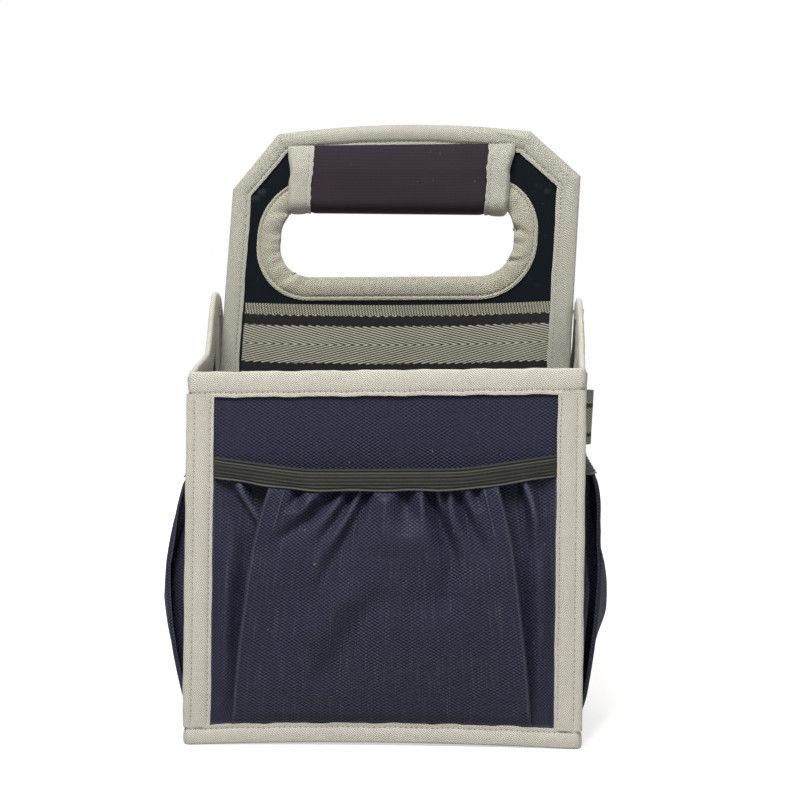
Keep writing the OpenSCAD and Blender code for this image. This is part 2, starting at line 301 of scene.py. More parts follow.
def side_edge(y):
    """Height of a side wall's bound edge: a slow rise from the corner, then a sweep to the divider."""
    s = 1 - np.abs(y) / wall_y
    sweep = ease((s - 1 + SWEEP_TO) / (SWEEP_TO - SWEEP_FROM))
    rise = (1 - SWEEP_SHARE) * s + SWEEP_SHARE * sweep
    return rim_z - EDGE_LIP + (peak_z - rim_z + EDGE_LIP) * rise


def side_wall(side):
    """The left wall, side = -1, or the right wall, side = 1."""
    across, up = grid_of(np.linspace(0, 1, 90), np.linspace(0, 1, 80))
    y = (2 * across - 1) * (wall_y - wall_t - 0.3 * mm)
    z = base_z + 0.4 * mm + (side_edge(y) - 1.2 * mm - base_z) * up
    x = side * (wall_x - 0.1 * mm - belly(across, up, 1.0 * mm))
    return settle(np.stack([x, side * y, z], axis=-1))


def unit(vectors):
    return vectors / np.maximum(np.linalg.norm(vectors, axis=-1, keepdims=True), 1e-12)


def grid_normals(points, ring=False):
    if ring:
        along = np.roll(points, -1, axis=0) - np.roll(points, 1, axis=0)
    else:
        along = np.gradient(points, axis=0)
    return unit(np.cross(along, np.gradient(points, axis=1)))


def run_length(points):
    """Distance along a line of points, from its start."""
    steps = np.linalg.norm(np.diff(points, axis=0), axis=1)
    return np.concatenate([[0], np.cumsum(steps)])


SHARP_ANGLE = math.radians(55)


def add_mesh(name, vertices, faces, finish, loops_uv=None):
    mesh = bpy.data.meshes.new(name)
    mesh.vertices.add(len(vertices))
    mesh.vertices.foreach_set("co", np.asarray(vertices, np.float32).ravel())
    mesh.loops.add(faces.size)
    mesh.loops.foreach_set("vertex_index", faces.astype(np.int32).ravel())
    mesh.polygons.add(len(faces))
    mesh.polygons.foreach_set("loop_start", np.arange(0, faces.size, faces.shape[1], dtype=np.int32))
    mesh.update(calc_edges=True)
    if loops_uv is not None:
        layer = mesh.uv_layers.new(name="cut")
        layer.data.foreach_set("uv", np.asarray(loops_uv, np.float32).ravel())
    mesh.polygons.foreach_set("use_smooth", np.ones(len(faces), bool))
    mesh.set_sharp_from_angle(angle=SHARP_ANGLE)
    mesh.validate()
    mesh.materials.append(finish.material)
    made = bpy.data.objects.new(name, mesh)
    bpy.context.collection.objects.link(made)
    return made


def band(name, outer, thickness, finish, ring=False, uv=None):
    """A sheet of cloth or tape as a closed mesh: outer is a grid of points on its right side, running
    along its rows and across its columns, and the wrong side lies thickness behind it."""
    rows, cols = outer.shape[:2]
    under = rows * cols
    inner = outer - grid_normals(outer, ring) * thickness
    if uv is None:
        middle = outer[:, cols // 2]
        along = run_length(np.concatenate([middle, middle[:1]]) if ring else middle)
        uv = np.stack(grid_of(along, run_length(outer[rows // 2])), axis=-1)
    i, j = (index.ravel() for index in grid_of(np.arange(rows - 1 + ring), np.arange(cols - 1)))
    after = (i + 1) % rows
    corners = [(i, j, i), (after, j, i + 1), (after, j + 1, i + 1), (i, j + 1, i)]
    top = np.stack([a * cols + b for a, b, _ in corners], axis=1)
    top_uv = np.stack([uv[c, b] for _, b, c in corners], axis=1)
    faces = [top, top[:, ::-1] + under]
    coords = [top_uv, top_uv[:, ::-1]]

    def close(i, j, turned):
        """Joins the right side to the wrong one along a line of the grid."""
        here = i % rows * cols + j
        place = uv[i, j]
        quad = np.stack([here[:-1], here[:-1] + under, here[1:] + under, here[1:]], axis=1)
        place = np.stack([place[:-1], place[:-1], place[1:], place[1:]], axis=1)
        faces.append(quad[:, ::-1] if turned else quad)
        coords.append(place[:, ::-1] if turned else place)

    down = np.arange(rows + ring)
    close(down, np.full_like(down, 0), False)
    close(down, np.full_like(down, cols - 1), True)
    if not ring:
        over = np.arange(cols)
        close(np.full_like(over, 0), over, True)
        close(np.full_like(over, rows - 1), over, False)
    vertices = np.concatenate([outer.reshape(-1, 3), inner.reshape(-1, 3)])
    return add_mesh(name, vertices, np.concatenate(faces), finish, np.concatenate(coords))


def sewn(piece, *nodes, slot, **sheet):
    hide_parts(*nodes)
    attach(piece, "bag")


end_size = (2 * wall_x, rim_z)
side_size = (2 * wall_y, 0.5 * (rim_z + peak_z))
for name, grid, size in (("front", end_wall(-1), end_size), ("back", end_wall(1), end_size),
                         ("left", side_wall(-1), side_size), ("right", side_wall(1), side_size)):
    wall = band(f"{name}_wall_cloth", grid, wall_t, cloth)
    sewn(wall, f"{name}_panel", slot="coated_cloth", flat=size, held="stretched", rests_on=["base_panel"])


def base_sheet(z, dip):
    """A level cloth that covers the base and dips by a little towards its middle."""
    half_x = wall_x - 1.6 * mm
    half_y = wall_y - 1.6 * mm
    u, v = grid_of(np.linspace(0, 1, 60), np.linspace(0, 1, 50))
    wave = np.sin(math.pi * u) * np.sin(math.pi * v) * (0.75 + 0.25 * np.sin(11 * u + 3) * np.sin(9 * v))
    return settle(np.stack([(2 * u - 1) * half_x, (2 * v - 1) * half_y, z - dip * wave], axis=-1))


base_size = (2 * wall_x, 2 * wall_y)
base_cloth = band("base_cloth", base_sheet(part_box("base_panel")[1][2], 0), 1.2 * mm, cloth)
sewn(base_cloth, "base_panel", slot="coated_cloth", flat=base_size, held="stretched")
lining = band("base_lining_cloth", base_sheet(floor_z, 0.35 * mm), 0.6 * mm, cloth)
sewn(lining, "base_lining", slot="coated_cloth", flat=base_size, held="laid", rests_on=["base_board"])

stiffener = Finish("stiffener_sheet", Base_Color=(0.045, 0.045, 0.05), Roughness=0.55)
stiffener.relief(stiffener.noise(stiffener.place(), 900.0), 0.1 * mm, 0.3)
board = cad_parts["base_board"]
board.data.materials.clear()
board.data.materials.append(stiffener.material)

# ------------------------------------------------------------------ rim bindings
# Folded grey twill tape over the walls' raw edges. One length runs up a side wall's edge from each corner
# and along the rim between; the front and the back ones meet at the divider. It is sewn near its free
# edges, so it stands a little puffed between the stitches and the fold.


def twill_tape(name, light, dark):
    """Warm grey herringbone twill."""
    finish = Finish(name, Roughness=0.8, Specular_IOR_Level=0.22, Sheen_Weight=0.1)
    along, across = finish.weave_axes()
    zigzag = ((across / 6.4).fraction() - 0.5).size() * 6.4
    rib = (along + zigzag * 1.1).wave(1.45) * 0.5 + 0.5
    yarn = (across + along * 0.2).wave(1.1) * 0.5 + 0.5
    weave = rib * 0.65 + yarn * 0.35
    grime = finish.noise(finish.place(), 22.0, 4.0, 0.6)
    fuzz = finish.noise(finish.place(), 420.0, 2.0)
    high = finish.mix(grime, tuple(0.82 * c for c in light), light)
    low = finish.mix(grime, tuple(0.82 * c for c in dark), dark)
    finish.set(Base_Color=finish.mix((weave * 0.7 + fuzz * 0.3).step(0.15, 0.75), low, high))
    finish.relief(weave + fuzz * 0.5, 0.4 * mm, 1.0)
    return finish


tape = twill_tape("binding_tape", (0.665, 0.635, 0.55), (0.325, 0.306, 0.256))
tape_t = 0.75 * mm

thread = Finish("thread", Roughness=0.6)
twist = thread.noise(thread.place(), 2500.0, 1.0)
thread.set(Base_Color=thread.mix(twist, (0.07, 0.068, 0.05), (0.16, 0.155, 0.12)))
STITCH_PITCH = 2.9 * mm
STITCH_SHARE = 0.42
rng = np.random.default_rng(7)


def stitch_shape(width):
    """One stitch, as (share along it, across, up, sinking at its ends) for each point, and its faces."""
    turns = np.linspace(0, 2 * math.pi, 6, endpoint=False)
    ends = (-0.5, -0.36, 0, 0.36, 0.5)
    swell = (0.35, 0.85, 1, 0.85, 0.35)
    rise = np.array((-0.9, -0.1, 0.35, -0.1, -0.9)) * width * 0.5
    shape = np.array([[e, s * math.cos(t), s * math.sin(t) * 0.8, r]
                      for e, s, r in zip(ends, swell, rise) for t in turns])
    ring = np.arange(6)
    after = (ring + 1) % 6
    sides = [np.stack([k * 6 + ring, k * 6 + after, (k + 1) * 6 + after, (k + 1) * 6 + ring], axis=1)
             for k in range(4)]
    caps = np.array([[3, 2, 1, 0], [5, 4, 3, 0], [24, 25, 26, 27], [24, 27, 28, 29]])
    return shape, np.concatenate([*sides, caps])


def stitches(name, lines, body="bag", pitch=STITCH_PITCH, width=0.5 * mm, finish=thread):
    """One mesh of short stitches along each line, given as points and their outward normals."""
    shape, each = stitch_shape(width)
    vertices, faces = [], []
    for points, normals in lines:
        length = run_length(points)
        count = max(2, int(length[-1] / pitch))
        at = (np.arange(count) + 0.5) * length[-1] / count

        def sample(values, shift=0.0):
            return np.stack([np.interp(at + shift, length, values[:, k]) for k in range(3)], axis=1)

        centre = sample(points)
        along = unit(sample(points, 0.4 * pitch) - sample(points, -0.4 * pitch))
        normal = sample(normals)
        normal = unit(normal - along * (normal * along).sum(1, keepdims=True))
        side = np.cross(normal, along) + along * rng.normal(0, 0.06, (count, 1))
        long = STITCH_SHARE * pitch * (1 + rng.normal(0, 0.12, count))
        made = (centre[:, None] + along[:, None] * (shape[None, :, :1] * long[:, None, None])
                + side[:, None] * (shape[None, :, 1:2] * width / 2)
                + normal[:, None] * (shape[None, :, 2:3] * width / 2 + shape[None, :, 3:4]))
        start = sum(len(v) for v in vertices) + np.arange(count) * len(shape)
        faces.append((start[:, None, None] + each[None]).reshape(-1, 4))
        vertices.append(made.reshape(-1, 3))
    piece = add_mesh(name, np.concatenate(vertices), np.concatenate(faces), finish)
    if body:
        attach(piece, body)
    return piece


def seam_line(outer, column, ring=False, rows=slice(None)):
    """The line that a row of stitches follows on a grid, at a column that may lie between two."""
    normals = grid_normals(outer, ring)[:, int(column)]
    low = int(column)
    share = column - low
    points = outer[:, low] * (1 - share) + outer[:, min(low + 1, outer.shape[1] - 1)] * share
    if ring:
        points = np.concatenate([points, points[:1]])
        normals = np.concatenate([normals, normals[:1]])
    return points[rows], normals[rows]


def nearest(values, wanted):
    return int(np.argmin(np.abs(values - wanted)))


def bump(distance, width):
    """A smooth hump, 1 at no distance and nearly 0 past twice the width."""
    return np.exp(-(distance / width) ** 2)


def folded_section(half, width, seam, puff):
    """Section of a tape folded over an edge, from its outer free edge over the fold to the inner one: a
    list of (distance out from the middle of the cloth, distance down from the edge, seam puckering)."""
    tip = half * 0.9
    width, seam = width - tip, seam - tip
    down = width * (1 - np.linspace(0, 1, 22)[:-1])
    between = np.clip((seam - down) / seam, 0, 1)
    near_seam = bump(down - seam, 0.7 * mm)
    out = half + puff * np.sin(math.pi * between) ** 0.7 * (down < seam)
    out += 0.35 * puff * bump(down - 0.5 * (seam + width), 0.25 * (width - seam))
    out -= 0.22 * mm * near_seam
    angle = np.linspace(0, math.pi, 9)
    fold = np.stack([half * np.cos(angle), -half * np.sin(angle) * 0.9, np.zeros_like(angle)], axis=1)
    leaf = np.stack([out, down, near_seam], axis=1)
    return np.concatenate([leaf, fold, leaf[::-1] * (-1, 1, 1)]) + (0, tip, 0)


def seam_columns(section, seam):
    """Columns of a folded section that lie on its seam, on the outer and on the inner leaf."""
    outer = nearest(section[:len(section) // 2, 1], seam)
    return outer, len(section) - 1 - outer


def pucker(length):
    """How far the tape is drawn in along a seam, from 0 to 1 at each stitch's end."""
    return 0.5 + 0.5 * np.cos(2 * math.pi * length / STITCH_PITCH)


def wobble(length, seed, size, wave=30 * mm):
    """A slow, seeded unevenness along a sewn edge."""
    local = np.random.default_rng(seed)
    total = np.zeros_like(length)
    for octave in range(3):
        total += np.sin(2 * math.pi * length / wave * 1.9 ** octave + local.uniform(0, 6.28)) / 1.7 ** octave
    return total * size / 2


RIM_TAPE_WIDTH = 14.2 * mm
RIM_SEAM = 11.9 * mm
RIM_LIFT = 1.5 * mm
RIM_TURN = 3 * mm
TAPE_FOLD = 3 * mm
PUCKER_DEPTH = 0.18 * mm


def rim_path(side):
    """Points and outward directions along the bound edge, from one peak round the front or the back."""
    mid_x = wall_x - wall_t / 2
    mid_y = wall_y - wall_t / 2
    angle = np.linspace(0, math.pi / 2, 9)[1:-1]
    rise = [(-mid_x, -y, side_edge(y), -1, 0) for y in np.linspace(1.2 * mm, mid_y - RIM_TURN, 110)]
    rise += [(-mid_x + RIM_TURN * (1 - math.cos(a)), -mid_y + RIM_TURN * (1 - math.sin(a)),
              rim_z - EDGE_LIP, -math.cos(a), -math.sin(a)) for a in angle]
    run = np.linspace(RIM_TURN - mid_x, mid_x - RIM_TURN, 190)
    front = [(x, -mid_y, rim_z - EDGE_LIP, 0, -1) for x in run]
    path = np.array(rise + front + [(-x, y, z, -nx, ny) for x, y, z, nx, ny in rise[::-1]])
    if side > 0:
        path = path * (-1, -1, 1, -1, -1)
    return path[:, :3], np.concatenate([path[:, 3:], np.zeros((len(path), 1))], axis=1)


def sweep(points, out, section, uneven):
    """A grid of a folded section carried along a path. out is the direction away from the cloth."""
    down = unit(np.cross(unit(np.gradient(points, axis=0)), out))
    drawn = PUCKER_DEPTH * section[:, 2] * pucker(run_length(points))[:, None]
    offset = section[:, 0] - np.sign(section[:, 0]) * drawn
    depth = section[:, 1] + uneven[:, None]
    return points[:, None] + out[:, None] * offset[..., None] + down[:, None] * depth[..., None]


rim_section = folded_section(wall_t / 2 + tape_t + 0.25 * mm, RIM_TAPE_WIDTH, RIM_SEAM, 0.55 * mm)
for side, name in ((-1, "front"), (1, "back")):
    points, out = rim_path(side)
    points[:, 2] += RIM_LIFT
    length = run_length(points)
    grid = settle(sweep(points, out, rim_section, wobble(length, 11 + side, 0.35 * mm)))
    rim = band(f"rim_tape_{name}", grid, tape_t, tape)
    sewn(rim, f"rim_binding_{name}", slot="binding_tape", flat=(length[-1], 2 * RIM_TAPE_WIDTH + TAPE_FOLD),
         held="folded", rests_on=[f"{name}_wall_cloth"])
    stitches(f"rim_thread_{name}", [seam_line(grid, c) for c in seam_columns(rim_section, RIM_SEAM)])

# ------------------------------------------------------------------ corner bindings
# A tape down each corner seam, sewn through near both edges of each leaf and puffed between the rows; the
# seam's raw edges make a lip at the corner.

CORNER_TAPE_WIDTH = 13.8 * mm
CORNER_SEAMS = (CORNER_TAPE_WIDTH - 1.9 * mm, 3.2 * mm)
CORNER_RADIUS = 1.9 * mm
corner_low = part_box("corner_binding_front_left")[0][2] - 1.5 * mm
corner_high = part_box("corner_binding_front_left")[1][2] + 1.0 * mm


def corner_leaf():
    """One leaf of the corner tape from its free edge to the corner, as (distance from the wall's edge back
    along the wall, distance out from the wall)."""
    back = np.linspace(CORNER_TAPE_WIDTH, 1.2 * mm, 34)
    far, near = CORNER_SEAMS
    between = np.clip((far - back) / (far - near), 0, 1)
    out = 0.95 * mm + 1.15 * mm * np.sin(math.pi * between) ** 0.75 * (1.25 - 0.5 * between)
    for seam in CORNER_SEAMS:
        out -= 0.25 * mm * bump(back - seam, 0.7 * mm)
    return back, out + 0.5 * mm * ease((near - back) / (2 * mm))


def corner_grid(sx, sy):
    """The tape at a corner, drawn for the front right one and mirrored to its place."""
    back, out = corner_leaf()
    z = np.linspace(corner_low, corner_high, 170)
    angle = np.linspace(-math.pi / 2, 0, 9)[1:-1]
    front = np.stack([wall_x - back, -wall_y - out], axis=1)
    turn_x = wall_x - CORNER_RADIUS + 0.7 * mm + (CORNER_RADIUS + 1.1 * mm) * np.cos(angle)
    turn_y = -wall_y + CORNER_RADIUS - 1.0 * mm + (CORNER_RADIUS + 0.6 * mm) * np.sin(angle)
    turn = np.stack([turn_x, turn_y], axis=1)
    side = np.stack([wall_x + out, -wall_y + back], axis=1)[::-1]
    plan = np.concatenate([front, turn, side])
    columns = [nearest(back, seam) for seam in CORNER_SEAMS]
    columns += [len(plan) - 1 - c for c in columns]
    drawn = np.zeros(len(plan))
    drawn[columns] = 0.12 * mm
    inward = unit(np.array([wall_x - 3 * mm, -wall_y + 3 * mm]) - plan)
    swell = 0.25 * mm * wobble(z, int(3 + sx + 2 * sy), 1.0, 55 * mm)
    pull = drawn * pucker(z)[:, None] - swell[:, None]
    flat = plan + inward * pull[..., None]
    grid = np.concatenate([flat, np.broadcast_to(z[:, None, None], (*pull.shape, 1))], axis=-1)
    grid = grid * (sx, -sy, 1)
    if sx == sy:
        grid = grid[:, ::-1]
        columns = [len(plan) - 1 - c for c in columns]
    return settle(grid[::-1]), columns


for sy, end in ((-1, "front"), (1, "back")):
    for sx, side in ((-1, "left"), (1, "right")):
        grid, columns = corner_grid(sx, sy)
        corner = band(f"corner_tape_{end}_{side}", grid, tape_t, tape)
        sewn(corner, f"corner_binding_{end}_{side}", slot="binding_tape",
             flat=(corner_high - corner_low, 2 * CORNER_TAPE_WIDTH + TAPE_FOLD), held="folded",
             rests_on=["base_binding"])
        stitches(f"corner_thread_{end}_{side}", [seam_line(grid, c, rows=slice(3, -4)) for c in columns])

# ------------------------------------------------------------------ base binding
# One tape round the foot: a leaf up the walls and over the ends of the corner tapes, a fold at the ground
# and a leaf under the base. It is sewn once, through everything, and is tucked a little at the corners.

BASE_TAPE_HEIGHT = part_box("base_binding")[1][2] - 0.6 * mm
BASE_TAPE_WIDTH = 26 * mm
BASE_SEAM_HEIGHT = BASE_TAPE_HEIGHT - 2.4 * mm
BASE_FOLD = 1.5 * mm
BASE_LEAF_UNDER = 13 * mm
BASE_TUCK = 0.35 * mm


def plan_ring(grow, corner_r):
    """A rounded rectangle round the walls, grown outwards, anticlockwise from above."""
    half_x = wall_x + grow
    half_y = wall_y + grow
    r = corner_r
    arcs = []
    for sx, sy, start in ((1, -1, -90), (1, 1, 0), (-1, 1, 90), (-1, -1, 180)):
        angle = np.radians(np.linspace(start, start + 90, 13))
        arcs.append(np.stack([sx * (half_x - r) + r * np.cos(angle), sy * (half_y - r) + r * np.sin(angle)],
                             axis=1))
    points = []
    for arc, after, steps in zip(arcs, arcs[1:] + arcs[:1], (110, 150, 110, 150)):
        run = arc[-1] + (after[0] - arc[-1]) * np.linspace(0, 1, steps)[1:-1, None]
        points += [arc, run]
    return np.concatenate(points)


up = np.linspace(BASE_TAPE_HEIGHT, BASE_FOLD, 18)
puffed = 1.25 * mm + 0.55 * mm * np.sin(math.pi * np.clip(1 - up / BASE_SEAM_HEIGHT, 0, 1)) ** 0.8
puffed -= 0.3 * mm * bump(up - BASE_SEAM_HEIGHT, 0.7 * mm)
angle = np.linspace(0, math.pi / 2, 7)[1:]
fold = np.stack([puffed[-1] - BASE_FOLD * (1 - np.cos(angle)), BASE_FOLD * (1 - np.sin(angle))], axis=1)
under = np.stack([np.linspace(-1 * mm, -BASE_LEAF_UNDER, 12), np.zeros(12)], axis=1)
base_section = np.concatenate([np.stack([puffed, up], axis=1), fold, under])[::-1]
base_rings = []
for grow, z in base_section:
    ring = plan_ring(grow, max(3.2 * mm + grow, 0.8 * mm))
    base_rings.append(np.concatenate([ring, np.full((len(ring), 1), z)], axis=1))
base_grid = np.stack(base_rings, axis=1)
length = run_length(base_grid[:, -5])
inner_x, inner_y, _ = np.abs(base_grid[:, 0]).T
tuck = BASE_TUCK * np.sin(length / (1.7 * mm)) * bump(np.hypot(inner_x - wall_x, inner_y - wall_y), 7 * mm)
above = np.clip(base_grid[..., 2] / BASE_TAPE_HEIGHT, 0, 1)
base_grid[..., 2] += (wobble(length, 5, 0.5 * mm) + 1.5 * tuck)[:, None] * above ** 2
base_grid += grid_normals(base_grid, ring=True) * (tuck[:, None] * above * (1 - above) * 4)[..., None]
base_grid = settle(base_grid)
base_grid[..., 2] = np.maximum(base_grid[..., 2], 0.02 * mm)
base_tape = band("base_tape", base_grid, tape_t, tape, ring=True)
sewn(base_tape, "base_binding", slot="binding_tape", flat=(length[-1], BASE_TAPE_WIDTH), held="folded",
     rests_on=["base_cloth"])
stitches("base_thread", [seam_line(base_grid, nearest(base_section[:, 1], BASE_SEAM_HEIGHT), ring=True)])

# ------------------------------------------------------------------ divider board
# A stiff, smooth plastic sheet that stands across the middle of the bag, with a hand hole near its top.

_, (divider_x, _, handle_z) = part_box("divider_edge_binding")
HALF_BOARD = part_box("divider_board")[1][1]
BOARD_INSET = 1.0 * mm
HANDLE_TOP = (-80.3 * mm, 74.0 * mm)
TOP_ARCH = 4.8 * mm
SHOULDER_Z = 318.5 * mm
SHOULDER_RISE = 6 * mm
HOLE_HALF_WIDTH = 71.6 * mm
HOLE_HALF_HEIGHT = 23 * mm
HOLE_CORNER = 20 * mm
HOLE_MIDDLE = np.array([-3.2 * mm, 288 * mm])


def divider_vertices():
    """The divider's outline without its foot, from the left foot over the top to the right foot."""
    k = np.linspace(-1, 1, 13)
    top = np.stack([np.interp(k, (-1, 1), HANDLE_TOP), handle_z - TOP_ARCH * k * k], axis=1)
    left = np.array([(-divider_x, floor_z), (-divider_x, SHOULDER_Z)])
    right = left[::-1] * (-1, 1) + ((0, SHOULDER_RISE), (0, 0))
    return np.concatenate([left, top, right])


def outline_points(inset, steps):
    """Points on the divider's outline moved inwards by inset, with mitred corners."""
    moved = divider_vertices()
    edge = unit(np.diff(moved, axis=0))
    inward = np.stack([edge[:, 1], -edge[:, 0]], axis=1)
    both = inward[:-1] + inward[1:]
    moved[0] += inset * inward[0]
    moved[-1] += inset * inward[-1]
    moved[1:-1] += inset * both / (1 + (inward[:-1] * inward[1:]).sum(1))[:, None]
    runs = [moved[k] + (moved[k + 1] - moved[k]) * np.linspace(0, 1, n, endpoint=False)[:, None]
            for k, n in enumerate(steps)]
    return np.concatenate(runs + [moved[-1:]])


EDGE_STEPS = [150, 36] + [10] * 12 + [36, 150]


def hole_points(grow):
    """The hand hole's outline grown by a distance, round from the middle of its lower edge."""
    r = HOLE_CORNER + grow
    cx = HOLE_HALF_WIDTH - HOLE_CORNER
    cz = HOLE_HALF_HEIGHT - HOLE_CORNER
    arcs = []
    for sx, sz, start in ((1, -1, -90), (1, 1, 0), (-1, 1, 90), (-1, -1, 180)):
        angle = np.radians(np.linspace(start, start + 90, 40))
        arcs.append(np.stack([sx * cx + r * np.cos(angle), sz * cz + r * np.sin(angle)], axis=1))
    points = []
    for arc, after, steps in zip(arcs, arcs[1:] + arcs[:1], (6, 62, 6, 62)):
        points += [arc, arc[-1] + (after[0] - arc[-1]) * np.linspace(0, 1, steps)[1:-1, None]]
    return np.roll(np.concatenate(points), 30, axis=0) + HOLE_MIDDLE


def board_plastic():
    """Near-black navy plastic with a satin skin, faint scuffs and a few specks of dust."""
    finish = Finish("divider_plastic", Specular_IOR_Level=0.22)
    cloud = finish.noise(finish.place(), 9.0, 4.0, 0.6)
    scuff = finish.noise(finish.place(), 55.0, 6.0, 0.7).step(0.6, 0.75)
    speck = finish.noise(finish.place(), 520.0, 1.0).step(0.74, 0.8)
    ground = finish.mix(cloud, (0.0012, 0.0030, 0.0050), (0.0028, 0.0052, 0.0078))
    marked = finish.mix(scuff * 0.35 + speck * 0.5, ground, (0.045, 0.055, 0.08))
    finish.set(Base_Color=marked, Roughness=0.3 + scuff * 0.16 + cloud * 0.08)
    finish.relief(cloud * 0.7 + scuff * 0.3, 0.25 * mm, 0.25)
    return finish


def reach(line, angle):
    """Distance from the hole's middle to a closed outline, in each direction."""
    line = line - HOLE_MIDDLE
    at = np.arctan2(line[:, 1], line[:, 0])
    order = np.argsort(at)
    line, at = line[order], at[order]
    line = np.concatenate([line[-1:], line, line[:1]])
    at = np.concatenate([at[-1:] - 2 * math.pi, at, at[:1] + 2 * math.pi])
    k = np.clip(np.searchsorted(at, angle) - 1, 0, len(at) - 2)
    a = line[k]
    edge = line[k + 1] - a
    turned = np.cos(angle) * edge[:, 1] - np.sin(angle) * edge[:, 0]
    return (a[:, 0] * edge[:, 1] - a[:, 1] * edge[:, 0]) / turned


def divider_board():
    """Rays from the middle of the hole reach every point of the board, so they make its grid."""
    outer = outline_points(BOARD_INSET, EDGE_STEPS)
    outer = np.concatenate([outer, [(outer[-1][0], floor_z), (0, floor_z), (outer[0][0], floor_z)]])
    corners = outline_points(BOARD_INSET, [1] * len(EDGE_STEPS))
    corners = np.concatenate([corners, [(BOARD_INSET - divider_x, floor_z)]]) - HOLE_MIDDLE
    angle = np.sort(np.concatenate([np.linspace(-math.pi, math.pi, 240, endpoint=False),
                                    np.arctan2(corners[:, 1], corners[:, 0])]))
    angle = angle[np.concatenate([[True], np.diff(angle) > 1e-4])]
    near, far = reach(hole_points(BOARD_INSET), angle), reach(outer, angle)
    radius = near[:, None] + (far - near)[:, None] * np.linspace(1, 0, 30) ** 1.5
    x = HOLE_MIDDLE[0] + radius * np.cos(angle)[:, None]
    z = HOLE_MIDDLE[1] + radius * np.sin(angle)[:, None]
    uv = np.stack([x, z], axis=-1)
    grid = np.stack([x, np.full_like(x, -HALF_BOARD), z], axis=-1)
    return settle(grid, handle=True), np.concatenate([uv, uv[:1]])


board_grid, board_uv = divider_board()
divider = band("divider_sheet", board_grid, 2 * HALF_BOARD, board_plastic(), ring=True, uv=board_uv)
sewn(divider, "divider_board", slot="divider_plastic")

# ------------------------------------------------------------------ divider bindings
# The same tape is folded over the divider's outline and round its hand hole. It is gathered into small tucks
# where the hole's corners turn. Here it is a darker copy of the rim tape: painted shade, as the divider
# stands further back. Round the hole it is darker and yellower again, and that darkness is in part painted
# shade too.

# A darker copy of the rim tape: painted shade on the divider's outline and the grip's ends.
shaded_handle_tape = twill_tape("shaded_handle_tape", (0.525, 0.51, 0.432), (0.23, 0.222, 0.18))
BOARD_TAPE_HALF = HALF_BOARD + tape_t + 0.2 * mm
BOARD_TAPE_FOLD = 4 * mm
EDGE_TAPE_WIDTH = 13.1 * mm
EDGE_SEAM = 10.7 * mm
EDGE_TAPE_SKEW = 0.078
EDGE_PROUD = 1.3 * mm
EDGE_TOP_PUFF = 0.9 * mm
EDGE_TUCK_X = 62 * mm
EDGE_TUCK = 0.9 * mm
edge_section = folded_section(BOARD_TAPE_HALF, EDGE_TAPE_WIDTH, EDGE_SEAM, 0.75 * mm)


def edge_grid():
    """The tape round the outline, wider at the right, puffed along the top and tucked near its right end."""
    out, down, near_seam = edge_section.T
    grid = np.stack([outline_points(d - EDGE_PROUD, EDGE_STEPS) for d in down], axis=1)
    line = outline_points(0, EDGE_STEPS)
    length = run_length(line)
    step = unit(np.gradient(line, axis=0))
    outward = np.stack([-step[:, 1], step[:, 0]], axis=1)
    slack = wobble(length, 21, 0.3 * mm, 45 * mm) + EDGE_TAPE_SKEW * EDGE_TAPE_WIDTH * line[:, 0] / divider_x
    grid = grid - outward[:, None] * (slack[:, None] * down / EDGE_TAPE_WIDTH)[..., None]
    height = np.clip((line[:, 1] - SHOULDER_Z) / (handle_z - SHOULDER_Z), 0, 1)
    puff = EDGE_TOP_PUFF * ease((height - 0.75) * 4)[:, None]
    puff = puff * (down < EDGE_SEAM - 0.8 * mm) * np.sin(math.pi * np.clip(down / EDGE_SEAM, 0, 1))
    tuck_at = length[np.argmin(np.abs(line[:, 0] - EDGE_TUCK_X) + (line[:, 1] < 345 * mm))]
    from_tuck = length[:, None] - tuck_at
    tuck = bump(from_tuck, 9 * mm) * bump(down - 3.5 * mm - 0.12 * from_tuck, 1.3 * mm)
    puff = puff + EDGE_TUCK * tuck * (out > 0) - PUCKER_DEPTH * near_seam * pucker(length)[:, None]
    return np.stack([grid[..., 0], -out - np.sign(out) * puff, grid[..., 1]], axis=-1), length


grid, length = edge_grid()
grid = settle(grid, handle=True)
edge_tape = band("divider_edge_tape", grid, tape_t, shaded_handle_tape)
sewn(edge_tape, "divider_edge_binding", slot="binding_tape",
     flat=(length[-1], 2 * EDGE_TAPE_WIDTH + BOARD_TAPE_FOLD), held="folded", rests_on=["divider_sheet"])
stitches("divider_edge_thread", [seam_line(grid, c) for c in seam_columns(edge_section, EDGE_SEAM)])

# A darker, yellower copy for the hand hole; part of its darkness is painted shade.
shaded_hole_finish = twill_tape("hole_tape", (0.465, 0.447, 0.358), (0.20, 0.193, 0.146))
HOLE_TAPE_WIDTH = 14.3 * mm
HOLE_SEAM = 12.0 * mm
HOLE_EASE = 1.12
HOLE_RIPPLE = 0.26 * mm
hole_section = folded_section(BOARD_TAPE_HALF, HOLE_TAPE_WIDTH, HOLE_SEAM, 1.15 * mm)

# Tucks round the hole: place across and up, height and width in millimetres, and how far each leans.
HOLE_TUCKS = ((-69, 300, 1.0, 4.5, 0.5), (-60, 270, 1.1, 5.5, -0.4), (68, 297, 1.2, 5.0, -0.5),
              (70, 275, 0.9, 4.0, 0.4), (-71, 288, 0.45, 5, 0.2), (71, 287, 0.5, 4, -0.3))


